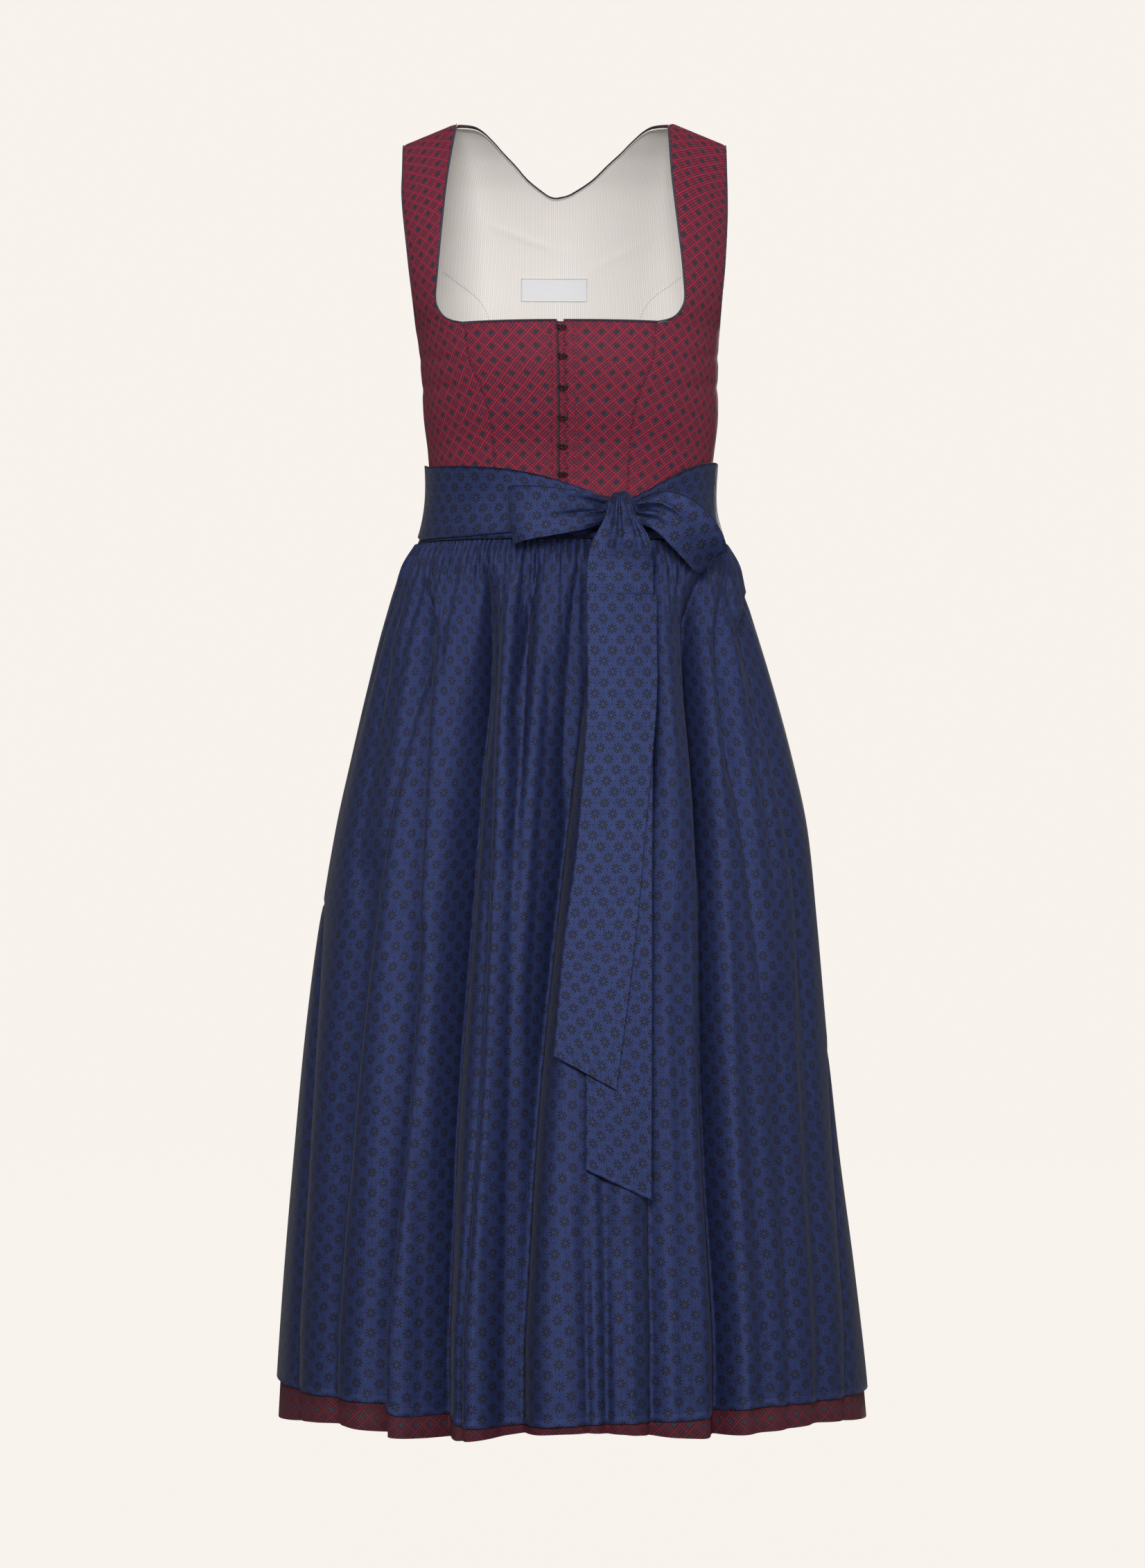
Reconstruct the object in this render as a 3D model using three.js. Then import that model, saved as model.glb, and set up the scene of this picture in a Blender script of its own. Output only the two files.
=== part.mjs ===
// A dirndl as it is worn: red jacquard bodice and gathered skirt, blue apron tied in a bow at the front.
// Millimetres. +Z is up, the front faces -Y and +X is the viewer's right. The origin lies between the
// shoulder seams, where the wearer's shoulders carry the garment. "Left" and "right" are the viewer's.
import * as THREE from 'three';

const CLOTH = 1.6;          // bodice wall
const SKIRT_CLOTH = 2.0;    // skirt wall, measured straight out from the figure
const APRON_CLOTH = 2.0;    // apron wall, measured the same way
const RIBBON = 1.5;         // doubled cloth of ties, loops and tails
const SEAM = 0.3;           // space between neighbouring pieces
const LINING_GAP = 1.3;     // the lining hangs this far inside the back
const DEGREE = Math.PI / 180;

const WAIST_SEAM = -335;
const NECKLINE = -187;      // front neckline, where it meets the princess seams
const ARMHOLE = -190;       // lowest point of the armhole
const SKIRT_HEM = -1132;
const APRON_TOP = -372;
const APRON_REACH = 108 * DEGREE;   // the apron wraps this far round from centre front
const COLUMN = 3.6 * DEGREE;          // one column of the skirt's and apron's walls

// The whole form, a row per height: half width, depth to the front and to the back, sideways shift of the
// section, and the power of its superellipse (2 is an ellipse, more is squarer).
const FORM = [
  { z: 0, half: 150, front: -6, back: 7.2, shift: -7, power: 2.4 },
  { z: -4, half: 150, front: 7, back: 22, shift: -7, power: 2.4 },
  { z: -12, half: 150, front: 20, back: 38, shift: -7, power: 2.4 },
  { z: -25, half: 150, front: 36, back: 56, shift: -7, power: 2.4 },
  { z: -50, half: 150, front: 60, back: 77, shift: -7, power: 2.4 },
  { z: -90, half: 150, front: 88, back: 92, shift: -6, power: 2.4 },
  { z: -130, half: 148, front: 106, back: 99, shift: -5, power: 2.4 },
  { z: -165, half: 141, front: 116, back: 101, shift: -4.5, power: 2.4 },
  { z: -187, half: 133, front: 118, back: 99, shift: -4, power: 2.4 },
  { z: -221, half: 131, front: 120, back: 97, shift: -2.5, power: 2.4 },
  { z: -259, half: 129, front: 112, back: 92, shift: -1.5, power: 2.4 },
  { z: -293, half: 125.5, front: 101, back: 87, shift: -1.5, power: 2.4 },
  { z: -335, half: 124, front: 95, back: 85, shift: -1.5, power: 2.4 },
  { z: -366, half: 130.8, front: 101, back: 91, shift: -1, power: 2.3 },
  { z: -395, half: 145, front: 114, back: 108, shift: -1.5, power: 2.25 },
  { z: -440, half: 160.3, front: 128, back: 125, shift: -2.7, power: 2.2 },
  { z: -500, half: 177, front: 141, back: 142, shift: -1.5, power: 2.15 },
  { z: -560, half: 192, front: 152, back: 153, shift: -0.5, power: 2.1 },
  { z: -620, half: 205, front: 161, back: 162, shift: -0.7, power: 2.1 },
  { z: -700, half: 215.7, front: 172, back: 172, shift: -3.2, power: 2.1 },
  { z: -800, half: 226.2, front: 182, back: 182, shift: -5.2, power: 2.1 },
  { z: -900, half: 235.7, front: 190, back: 190, shift: -5.2, power: 2.1 },
  { z: -1000, half: 246.4, front: 197, back: 197, shift: -3, power: 2.1 },
  { z: -1085, half: 254.4, front: 202, back: 202, shift: -1, power: 2.1 },
  { z: -1140, half: 258.5, front: 204, back: 204, shift: 0, power: 2.1 },
];

// Distance of the bodice's seams and edges from its own centre line, a row per height.
const FRONT_INNER = [   // strap edge, neckline corner, then princess seam
  { z: 0, x: 94 }, { z: -80, x: 101.5 }, { z: -150, x: 108 }, { z: -166, x: 108.5 }, { z: -175, x: 105 },
  { z: -182, x: 99 }, { z: -186, x: 90 }, { z: -187.5, x: 83 }, { z: -218, x: 79 }, { z: -242, x: 69 },
  { z: -260, x: 63 }, { z: -275, x: 60.5 }, { z: -305, x: 58 }, { z: -335, x: 57 },
];
const FRONT_ARMHOLE = [
  { z: 0, x: 141 }, { z: -22, x: 141.5 }, { z: -50, x: 142 }, { z: -90, x: 140.5 }, { z: -130, x: 137.5 },
  { z: -150, x: 135.5 }, { z: -165, x: 134 }, { z: -175, x: 133.2 }, { z: -183, x: 133 }, { z: -190, x: 132.9 },
];
const BACK_ARMHOLE = [
  { z: 0, x: 141 }, { z: -30, x: 140 }, { z: -60, x: 137 }, { z: -90, x: 134 }, { z: -120, x: 131.5 },
  { z: -150, x: 131 }, { z: -165, x: 131.5 }, { z: -178, x: 132.5 }, { z: -190, x: 132.9 },
];
const BACK_SEAM = [     // curved seam from the armhole down to the waist
  { z: -112, x: 131.5 }, { z: -118, x: 121 }, { z: -125, x: 109 }, { z: -133, x: 97 }, { z: -141, x: 85 },
  { z: -150, x: 75.5 }, { z: -164, x: 69 }, { z: -200, x: 60 }, { z: -250, x: 52 }, { z: -335, x: 47 },
];
const BACK_NECK = [     // height of the back neck edge, a row per distance from the centre line
  { x: 0, z: -56.5 }, { x: 4, z: -54.5 }, { x: 8, z: -50.5 }, { x: 17.5, z: -40.5 }, { x: 26, z: -29.5 },
  { x: 36.5, z: -18 }, { x: 41, z: -13 }, { x: 50, z: -5 }, { x: 58, z: -1.5 },
  { x: 75, z: -0.7 }, { x: 142, z: -0.6 },
];
// The centre line of neckline, opening and back V, left of the section's own centre.
const CENTRE_LINE = [{ z: 0, x: -2 }, { z: -55, x: -4.5 }, { z: -150, x: -6 }, { z: -260, x: -8 }, { z: -335, x: -8 }];

// Heights that every bodice panel shares, so that neighbours meet along the same points.
const BODICE_HEIGHTS = [
  -335, -300, -265, -240, -218, -203, -190, -187, -183, -178, -172, -165, -149, -133, -118, -112, -92, -72,
  -52, -34, -20, -10, -4, -0.6,
];

// Main folds of apron and skirt, a row per fold, with their distance from x = 0 at four heights.
// A fold sinks by its depth, or stands out where that is negative. Its reach is given for either side.
const FOLD_HEIGHTS = [-450, -650, -850, -1050];
const FOLDS = [
  { x: [-150, -178, -198, -205], depth: 7, left: 14, right: 20, top: 0.5 },
  { x: [-128, -136, -145, -165], depth: 13, left: 20, right: 9, top: 0.8 },
  { x: [-119, -127, -136, -154], depth: -5, left: 7, right: 26, top: 0.4 },
  { x: [-77, -91.5, -105, -115], depth: 22, left: 20, right: 14, top: 0.8 },
  { x: [-61, -66, -80, -97], depth: -7, left: 8, right: 30, top: 0.4 },
  { x: [-39, -50, -55, -60], depth: 5, left: 9, right: 9, top: 1.3 },
  { x: [1, -6.5, -30, -43], depth: 12, left: 24, right: 12, top: 1 },
  { x: [70, 63, 66.5, 66], depth: 6, left: 9, right: 15, top: 1.2 },
  { x: [108, 120.5, 122, 131], depth: 20, left: 12, right: 14, top: 0.9 },
  { x: [132, 142, 152, 162], depth: 8, left: 12, right: 14, top: 0.9 },
  { x: [152, 192, 200, 211], depth: 6, left: 10, right: 14, top: 0.6 },
];
// Folds of the sides and back, which the front doesn't show: a row per fold, by angle from centre front.
const BACK_FOLDS = [
  { angle: -165, depth: 19, left: 22, right: 15 }, { angle: -141, depth: 15, left: 14, right: 20 },
  { angle: -121, depth: 20, left: 20, right: 15 }, { angle: -101, depth: 9, left: 14, right: 16 },
  { angle: 99, depth: 10, left: 16, right: 14 }, { angle: 119, depth: 18, left: 14, right: 21 },
  { angle: 140, depth: 16, left: 20, right: 14 }, { angle: 160, depth: 21, left: 15, right: 22 },
  { angle: 182, depth: 12, left: 15, right: 15 },
];
const APRON_GATHERS = 72;       // small waves along the apron's top
const SKIRT_GATHERS = 30;       // small waves along each back skirt panel's top

// Height of both hems round the front, a row per angle from centre front.
const HEMS = [
  { angle: -180, apron: -1100, skirt: -1134 }, { angle: -90, apron: -1100, skirt: -1136 },
  { angle: -55, apron: -1104, skirt: -1127 }, { angle: -38, apron: -1107, skirt: -1131 },
  { angle: -33, apron: -1113, skirt: -1132 }, { angle: -25, apron: -1114, skirt: -1133 },
  { angle: -20, apron: -1120, skirt: -1132 }, { angle: -5, apron: -1118, skirt: -1125 },
  { angle: 5, apron: -1116, skirt: -1124 }, { angle: 25, apron: -1114, skirt: -1131 },
  { angle: 35, apron: -1108, skirt: -1130 }, { angle: 55, apron: -1108, skirt: -1127 },
  { angle: 90, apron: -1110, skirt: -1136 }, { angle: 180, apron: -1110, skirt: -1134 },
];

// Apron ties round the waist: upper and lower edge, a row per distance from x = 0 across the front.
const TIE_EDGES = [
  { x: -130, top: -305, bottom: -364 }, { x: -70, top: -309, bottom: -365 }, { x: -43, top: -313, bottom: -366 },
  { x: -15, top: -320, bottom: -366 }, { x: 16, top: -331, bottom: -365 }, { x: 34, top: -339, bottom: -360 },
  { x: 48, top: -337, bottom: -360 }, { x: 67, top: -327, bottom: -364 }, { x: 87, top: -315, bottom: -366 },
  { x: 107, top: -305, bottom: -366 }, { x: 128, top: -299, bottom: -364 },
];
const TIE_UNDER = 2.9;          // ties lie this far outside the bodice
const BACK_TIE = { top: -302, bottom: -362, overlap: 14 * DEGREE, lift: 2.1, liftFrom: 140 * DEGREE };

const KNOT = { x: 41, y: -113.4, z: -348.5, halfWidth: 12, halfDepth: 14.5, halfHeight: 17.5 };
// Bow loops, a row per station from the knot out along the front layer and back along the rear one.
const LEFT_LOOP = [
  { x1: 28.9, z1: -340, x2: 28.9, z2: -358, y: -116 }, { x1: 10, z1: -334, x2: 10, z2: -365, y: -125 },
  { x1: -15, z1: -330, x2: -14, z2: -370, y: -129 }, { x1: -38, z1: -328, x2: -37, z2: -374, y: -128 },
  { x1: -53, z1: -328, x2: -49, z2: -377, y: -122 }, { x1: -55, z1: -330, x2: -50, z2: -375, y: -115 },
  { x1: -46, z1: -333, x2: -42, z2: -369, y: -110.5 }, { x1: -12, z1: -337, x2: -11, z2: -363, y: -110 },
  { x1: 28.9, z1: -342, x2: 28.9, z2: -357, y: -111.5 },
];
const RIGHT_LOOP = [
  { x1: 53.1, z1: -340, x2: 53.1, z2: -357, y: -116 }, { x1: 76, z1: -332, x2: 70, z2: -366, y: -121 },
  { x1: 97, z1: -337, x2: 84, z2: -379, y: -120 }, { x1: 115, z1: -350, x2: 95, z2: -390, y: -115 },
  { x1: 127, z1: -366, x2: 103, z2: -398, y: -108 }, { x1: 132, z1: -381, x2: 109, z2: -400, y: -100 },
  { x1: 126, z1: -378, x2: 107, z2: -396, y: -93.5 }, { x1: 106, z1: -354, x2: 93, z2: -380, y: -98.5 },
  { x1: 80, z1: -342, x2: 75, z2: -364, y: -105 }, { x1: 53.1, z1: -343, x2: 53.1, z2: -356, y: -111.5 },
];
// Hanging tails, a row per station: left and right edge, and the heights of both.
const FRONT_TAIL = [
  { x1: 31, z1: -366.6, x2: 51, z2: -366.6 }, { x1: 22, z1: -374, x2: 61, z2: -374 },
  { x1: 12, z1: -384, x2: 69, z2: -384 }, { x1: 11.7, z1: -450, x2: 68.6, z2: -450 },
  { x1: 11.7, z1: -516, x2: 68.4, z2: -516 }, { x1: 4, z1: -628, x2: 59, z2: -628 },
  { x1: -7, z1: -713, x2: 51, z2: -716 }, { x1: -15.7, z1: -809, x2: 35.9, z2: -838 },
];
const BACK_TAIL = [
  { x1: 31, z1: -368.6, x2: 51, z2: -368.6 }, { x1: 22, z1: -376, x2: 60, z2: -376 },
  { x1: 13, z1: -386, x2: 67, z2: -386 }, { x1: 12, z1: -500, x2: 67, z2: -500 },
  { x1: 11, z1: -620, x2: 66, z2: -620 }, { x1: 11, z1: -760, x2: 65.5, z2: -765 },
  { x1: 11, z1: -904, x2: 65, z2: -930 },
];

const OPENING = { left: -2.6, right: 3 };       // edges of the two fronts, from the centre line
const UNDERLAP = { left: -11, right: 12 };      // strip behind the opening
const CHANNELS = [                              // raised boning channels beside the opening
  { name: 'boning_channel_left', from: -8.2, to: -3 },
  { name: 'boning_channel_right', from: 4.2, to: 12 },
];
const CHANNEL_RISE = 1.2;
const HOOK_HEIGHTS = [-192.5, -217, -243, -268, -292, -316];
const PIPING = 1.0;                             // radius
const PIPING_ROOM = 0.2;                        // beyond a seam's space, for the curves
const LABEL = { left: -36, right: 24, top: -126, bottom: -146.5, thick: 0.7, clear: 0.9 };

const COLOURS = {
  jacquard: { color: 0x97203a, roughness: 0.82, metalness: 0 },
  apron: { color: 0x32416f, roughness: 0.6, metalness: 0 },
  lining: { color: 0xdcd3cb, roughness: 0.85, metalness: 0 },
  label: { color: 0xf2f1f0, roughness: 0.7, metalness: 0 },
  piping: { color: 0x1b2036, roughness: 0.6, metalness: 0 },
  hook: { color: 0x151518, roughness: 0.4, metalness: 0.8 },
};

const garment = new THREE.Group();

function addPiece(name, geometry, finish) {
  const mesh = new THREE.Mesh(geometry, new THREE.MeshStandardMaterial(COLOURS[finish]));
  mesh.name = name;
  garment.add(mesh);
}

// A smooth value between a table's rows. The key column falls or rises steadily.
function between(rows, key, column, at) {
  const falling = rows[0][key] > rows[rows.length - 1][key];
  const list = falling ? rows : [...rows].reverse();
  if (at >= list[0][key]) return list[0][column];
  const last = list.length - 1;
  if (at <= list[last][key]) return list[last][column];
  const i = list.findIndex((row, k) => k > 0 && at >= row[key]) - 1;
  const slope = (k) => {
    const a = list[Math.max(0, k - 1)];
    const b = list[Math.min(last, k + 1)];
    return (b[column] - a[column]) / (b[key] - a[key]);
  };
  const step = list[i + 1][key] - list[i][key];
  const t = (at - list[i][key]) / step;
  const t2 = t * t;
  const t3 = t2 * t;
  return (2 * t3 - 3 * t2 + 1) * list[i][column] + (t3 - 2 * t2 + t) * step * slope(i)
    + (3 * t2 - 2 * t3) * list[i + 1][column] + (t3 - t2) * step * slope(i + 1);
}

const smoothStep = (from, to, at) => {
  const t = Math.min(1, Math.max(0, (at - from) / (to - from)));
  return t * t * (3 - 2 * t);
};
const mix = (a, b, t) => a + (b - a) * t;

// Shoulders slope down outwards: the drop of a point below its nominal height.
function shoulderDrop(x, height) {
  const slope = 0.42;
  const shoulderStart = 96;
  return Math.max(0, Math.abs(x) - shoulderStart) * slope * smoothStep(-120, -20, height);
}

// A point of the form at an angle from centre front (positive to the right) and a height.
function formPoint(angle, height) {
  const row = (column) => between(FORM, 'z', column, height);
  const exponent = 2 / row('power');
  const sine = Math.sin(angle);
  const cosine = Math.cos(angle);
  const x = row('half') * Math.sign(sine) * Math.abs(sine) ** exponent;
  const depth = cosine > 0 ? row('front') : row('back');
  const y = -depth * Math.sign(cosine) * Math.abs(cosine) ** exponent;
  return new THREE.Vector3(x + row('shift'), y, height - shoulderDrop(x, height));
}

// The angle at which the form has this x, on its front or its back.
function angleAt(x, height, atBack = false) {
  const half = between(FORM, 'z', 'half', height);
  const t = Math.min(1, Math.max(-1, (x - between(FORM, 'z', 'shift', height)) / half));
  const power = between(FORM, 'z', 'power', height);
  const angle = Math.sign(t) * Math.asin(Math.abs(t) ** (power / 2));
  return atBack ? Math.PI - angle : angle;
}

function formNormal(angle, height) {
  const turn = 0.01;
  const lift = 0.4;
  const across = formPoint(angle + turn, height).sub(formPoint(angle - turn, height));
  const up = formPoint(angle, height + lift).sub(formPoint(angle, height - lift));
  return across.cross(up).normalize();
}

// A point moved straight out of the form, or into it by a negative distance.
function outFrom(angle, height, distance) {
  return formPoint(angle, height).addScaledVector(formNormal(angle, height), distance);
}

// Triangles between two rows of points, whose numbers may differ.
function bridge(triangles, first, second) {
  let i = 0;
  let j = 0;
  while (i < first.length - 1 || j < second.length - 1) {
    const nextFirst = (i + 1) / (first.length - 1);
    const nextSecond = (j + 1) / (second.length - 1);
    if (j >= second.length - 1 || (i < first.length - 1 && nextFirst <= nextSecond + 1e-9)) {
      triangles.push([first[i], first[i + 1], second[j]]);
      i += 1;
    } else {
      triangles.push([first[i], second[j + 1], second[j]]);
      j += 1;
    }
  }
}

function geometryFrom(points, triangles) {
  let volume = 0;
  for (const [a, b, c] of triangles) {
    volume += points[a].dot(new THREE.Vector3().crossVectors(points[b], points[c]));
  }
  const geometry = new THREE.BufferGeometry();
  geometry.setAttribute('position', new THREE.Float32BufferAttribute(points.flatMap((p) => [p.x, p.y, p.z]), 3));
  geometry.setIndex(triangles.flatMap((t) => (volume > 0 ? t : [t[0], t[2], t[1]])));
  return geometry;
}

// A closed wall between two sheets, each a list of rows of points. Both have rows of the same lengths.
function wallBetween(outer, inner) {
  const points = [];
  const number = (rows) => rows.map((row) => row.map((p) => points.push(p) - 1));
  const o = number(outer);
  const n = number(inner);
  const triangles = [];
  const last = o.length - 1;
  for (let r = 0; r < last; r += 1) {
    bridge(triangles, o[r], o[r + 1]);
    const back = [];
    bridge(back, n[r], n[r + 1]);
    for (const [a, b, c] of back) triangles.push([a, c, b]);
  }
  bridge(triangles, n[0], o[0]);
  bridge(triangles, o[last], n[last]);
  const side = (rows, end) => rows.map((row) => row[end < 0 ? row.length - 1 : 0]);
  bridge(triangles, side(o, 0), side(n, 0));
  bridge(triangles, side(n, -1), side(o, -1));
  return geometryFrom(points, triangles);
}

// A wall on the form: place(u, row) gives the angle and height of a point.
function wallOnForm(place, columns, rows, inner, outer) {
  const sheet = (distance) => rows.map((row) => {
    const line = [];
    for (let c = 0; c <= columns; c += 1) {
      const [angle, height] = place(c / columns, row);
      line.push(outFrom(angle, height, distance));
    }
    return line;
  });
  return wallBetween(sheet(outer), sheet(inner));
}

// A ribbon through stations with two edges each, thickened on both sides of its own surface.
function ribbonWall(stations, columns, thickness) {
  const rows = stations.map((s) => {
    const line = [];
    for (let c = 0; c <= columns; c += 1) line.push(s.a.clone().lerp(s.b, c / columns));
    return line;
  });
  const last = rows.length - 1;
  const shifted = (distance) => rows.map((row, r) => row.map((p, c) => {
    const along = rows[Math.min(last, r + 1)][c].clone().sub(rows[Math.max(0, r - 1)][c]);
    const across = row[Math.min(columns, c + 1)].clone().sub(row[Math.max(0, c - 1)]);
    return p.clone().addScaledVector(along.cross(across).normalize(), distance);
  }));
  return wallBetween(shifted(thickness / 2), shifted(-thickness / 2));
}

// A tube through centres, each with two directions that span its section.
function tube(centres, radius, sides, closed) {
  const points = [];
  for (const { at, up, out } of centres) {
    for (let s = 0; s < sides; s += 1) {
      const turn = (2 * Math.PI * s) / sides;
      points.push(at.clone().addScaledVector(up, radius * Math.cos(turn)).addScaledVector(out, radius * Math.sin(turn)));
    }
  }
  const triangles = [];
  const rings = centres.length;
  for (let r = 0; r < (closed ? rings : rings - 1); r += 1) {
    for (let s = 0; s < sides; s += 1) {
      const a = r * sides + s;
      const b = r * sides + ((s + 1) % sides);
      const c = ((r + 1) % rings) * sides + s;
      const d = ((r + 1) % rings) * sides + ((s + 1) % sides);
      triangles.push([a, b, c], [b, d, c]);
    }
  }
  if (!closed) {
    const end = (rings - 1) * sides;
    for (let s = 1; s < sides - 1; s += 1) {
      triangles.push([0, s + 1, s], [end, end + s, end + s + 1]);
    }
  }
  return geometryFrom(points, triangles);
}

// Piping along an edge of the form. The path is a list of [angle, height]; side says on which side it lies.
function pipingAlong(path, side, closed = false) {
  const edge = path.map(([angle, height]) => outFrom(angle, height, -CLOTH / 2));
  const last = edge.length - 1;
  const centres = edge.map((point, i) => {
    const before = closed ? (i + last) % (last + 1) : Math.max(0, i - 1);
    const after = closed ? (i + 1) % (last + 1) : Math.min(last, i + 1);
    const along = edge[after].clone().sub(edge[before]).normalize();
    const up = formNormal(...path[i]);
    const out = up.clone().cross(along).normalize().multiplyScalar(side);
    return { at: point.clone().addScaledVector(out, PIPING + SEAM + PIPING_ROOM), up, out };
  });
  return tube(centres, PIPING, 5, closed);
}

const centreLine = (height) => between(CENTRE_LINE, 'z', 'x', height) + between(FORM, 'z', 'shift', height);
const BACK_COLUMNS = 18;
const BACK_SEAM_TOP = -112;         // where the curved back seam reaches the armhole
const NECK_REACH = 142;             // from the centre line to the end of the shoulder seam
const TOP_ROW = BODICE_HEIGHTS[BODICE_HEIGHTS.length - 1];
const seamTurn = SEAM / 2 / 95;     // half a seam's space as an angle
const heightsFrom = (low, high) => BODICE_HEIGHTS.filter((h) => h >= low - 1e-6 && h <= high + 1e-6);

// Bodice edges as angles. side is -1 for the left and 1 for the right.
function innerEdge(side, height) {
  return angleAt(centreLine(height) + side * between(FRONT_INNER, 'z', 'x', height), height);
}

function armholeEdge(side, height, atBack) {
  if (height <= ARMHOLE) return side * 90 * DEGREE;
  const rows = atBack ? BACK_ARMHOLE : FRONT_ARMHOLE;
  const shift = between(FORM, 'z', 'shift', height);
  const angle = angleAt(shift + side * between(rows, 'z', 'x', height), height, atBack);
  return angle > Math.PI ? angle - 2 * Math.PI : angle;
}

function backSeam(side, height) {
  const reach = between(BACK_SEAM, 'z', 'x', height);
  const lean = between(CENTRE_LINE, 'z', 'x', height) * (1 - reach / BACK_SEAM[0].x);
  const x = between(FORM, 'z', 'shift', height) + lean + side * reach;
  const angle = angleAt(x, height, true);
  return angle > Math.PI ? angle - 2 * Math.PI : angle;
}

// Front beside the princess seam, with the strap that runs up to the shoulder seam.
function sideFront(side) {
  const place = (u, height) => {
    const inner = innerEdge(side, height) + side * seamTurn;
    const outer = armholeEdge(side, height, false) - side * seamTurn;
    return [mix(inner, outer, u), height];
  };
  return wallOnForm(place, 7, BODICE_HEIGHTS, -CLOTH, 0);
}

// Front between the princess seam and the opening.
function centreFront(side) {
  const edge = side < 0 ? OPENING.left : OPENING.right;
  const place = (u, height) => {
    const inner = angleAt(centreLine(height) + edge, height);
    const outer = innerEdge(side, height) - side * seamTurn;
    return [mix(inner, outer, u), height];
  };
  return wallOnForm(place, 6, heightsFrom(WAIST_SEAM, NECKLINE), -CLOTH, 0);
}

// Edge of the back panel: the curved seam below, the armhole above.
function backEdge(side, height) {
  return height <= BACK_SEAM_TOP ? backSeam(side, height) : armholeEdge(side, height, true);
}

// A sheet over the back between two edges. Its rows end along the V of the neck edge instead of a level line.
function backPlace(u, row, edgeOf, margin = 0) {
  const side = u < 0.5 ? -1 : 1;
  const share = Math.abs(2 * u - 1);
  const edge = Math.PI - Math.abs(edgeOf(side, row)) - margin;
  const neckTop = between(BACK_NECK, 'x', 'z', share * NECK_REACH);
  const height = WAIST_SEAM + (row - WAIST_SEAM) * (neckTop - WAIST_SEAM) / (TOP_ROW - WAIST_SEAM);
  const lean = (1 - share) * between(CENTRE_LINE, 'z', 'x', height) / between(FORM, 'z', 'half', height);
  return [Math.PI - side * edge * share - lean, height];
}

function sideBack(side) {
  const leastWidth = 0.012;   // radians, at the tip under the armhole
  const tip = -118;
  const place = (u, height) => {
    const seam = Math.abs(backSeam(side, height)) - seamTurn;
    const outer = Math.abs(armholeEdge(side, height, true)) + seamTurn;
    return [side * mix(outer, Math.max(seam, outer + leastWidth), u), height];
  };
  return wallOnForm(place, 6, heightsFrom(WAIST_SEAM, tip), -CLOTH, 0);
}

function addBodice() {
  for (const [side, name] of [[-1, 'left'], [1, 'right']]) {
    addPiece(`bodice_centre_front_${name}`, centreFront(side), 'jacquard');
    addPiece(`bodice_side_front_${name}`, sideFront(side), 'jacquard');
    addPiece(`bodice_side_back_${name}`, sideBack(side), 'jacquard');
  }
  const back = wallOnForm((u, row) => backPlace(u, row, backEdge, seamTurn), BACK_COLUMNS, BODICE_HEIGHTS, -CLOTH, 0);
  addPiece('bodice_back', back, 'jacquard');
}

// Lining inside the back, from below the line that the neckline hides up to the neck edge, and a bare label.
function addLining() {
  const inner = -CLOTH - LINING_GAP;
  const liningWall = 1.0;
  const armholeMargin = 0.02; // radians
  const rows = [-205, -187, -165, -133, -112, -72, -34, -10];
  const edge = (side, height) => armholeEdge(side, height, true);
  const lining = wallOnForm(
    (u, row) => backPlace(u, row, edge, armholeMargin), BACK_COLUMNS, rows, inner - liningWall, inner,
  );
  addPiece('back_lining', lining, 'lining');
  const labelPlace = (u, height) => [
    angleAt(centreLine(height) + mix(LABEL.left, LABEL.right, u), height, true), height,
  ];
  const labelOuter = inner - liningWall - LABEL.clear;
  const label = wallOnForm(labelPlace, 4, [LABEL.bottom, LABEL.top], labelOuter - LABEL.thick, labelOuter);
  addPiece('woven_label', label, 'label');
}

function addPiping() {
  const strapRows = BODICE_HEIGHTS.filter((h) => h > NECKLINE).reverse();
  for (const [side, name] of [[-1, 'left'], [1, 'right']]) {
    const path = strapRows.map((h) => [innerEdge(side, h), h]);
    const edge = side < 0 ? OPENING.left : OPENING.right;
    const princess = between(FRONT_INNER, 'z', 'x', NECKLINE);
    for (let i = 0; i <= 5; i += 1) {
      const x = centreLine(NECKLINE) + mix(side * princess, edge, i / 5);
      path.push([angleAt(x, NECKLINE), NECKLINE]);
    }
    addPiece(`neck_piping_front_${name}`, pipingAlong(path, -side), 'piping');
    const down = heightsFrom(-189, -0.6).filter((h, i) => i % 2 === 0).reverse();
    const front = down.map((h) => [armholeEdge(side, h, false), h]);
    const back = [...down].reverse().map((h) => [armholeEdge(side, h, true), h]);
    const loop = [...front, [side * 90 * DEGREE, ARMHOLE], ...back];
    addPiece(`armhole_piping_${name}`, pipingAlong(loop, side, true), 'piping');
  }
  const strapColumns = 3;
  const neck = [];
  for (let c = strapColumns; c <= BACK_COLUMNS - strapColumns; c += 1) {
    neck.push(backPlace(c / BACK_COLUMNS, TOP_ROW, backEdge, seamTurn));
  }
  addPiece('neck_piping_back', pipingAlong(neck, -1), 'piping');
}

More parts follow.
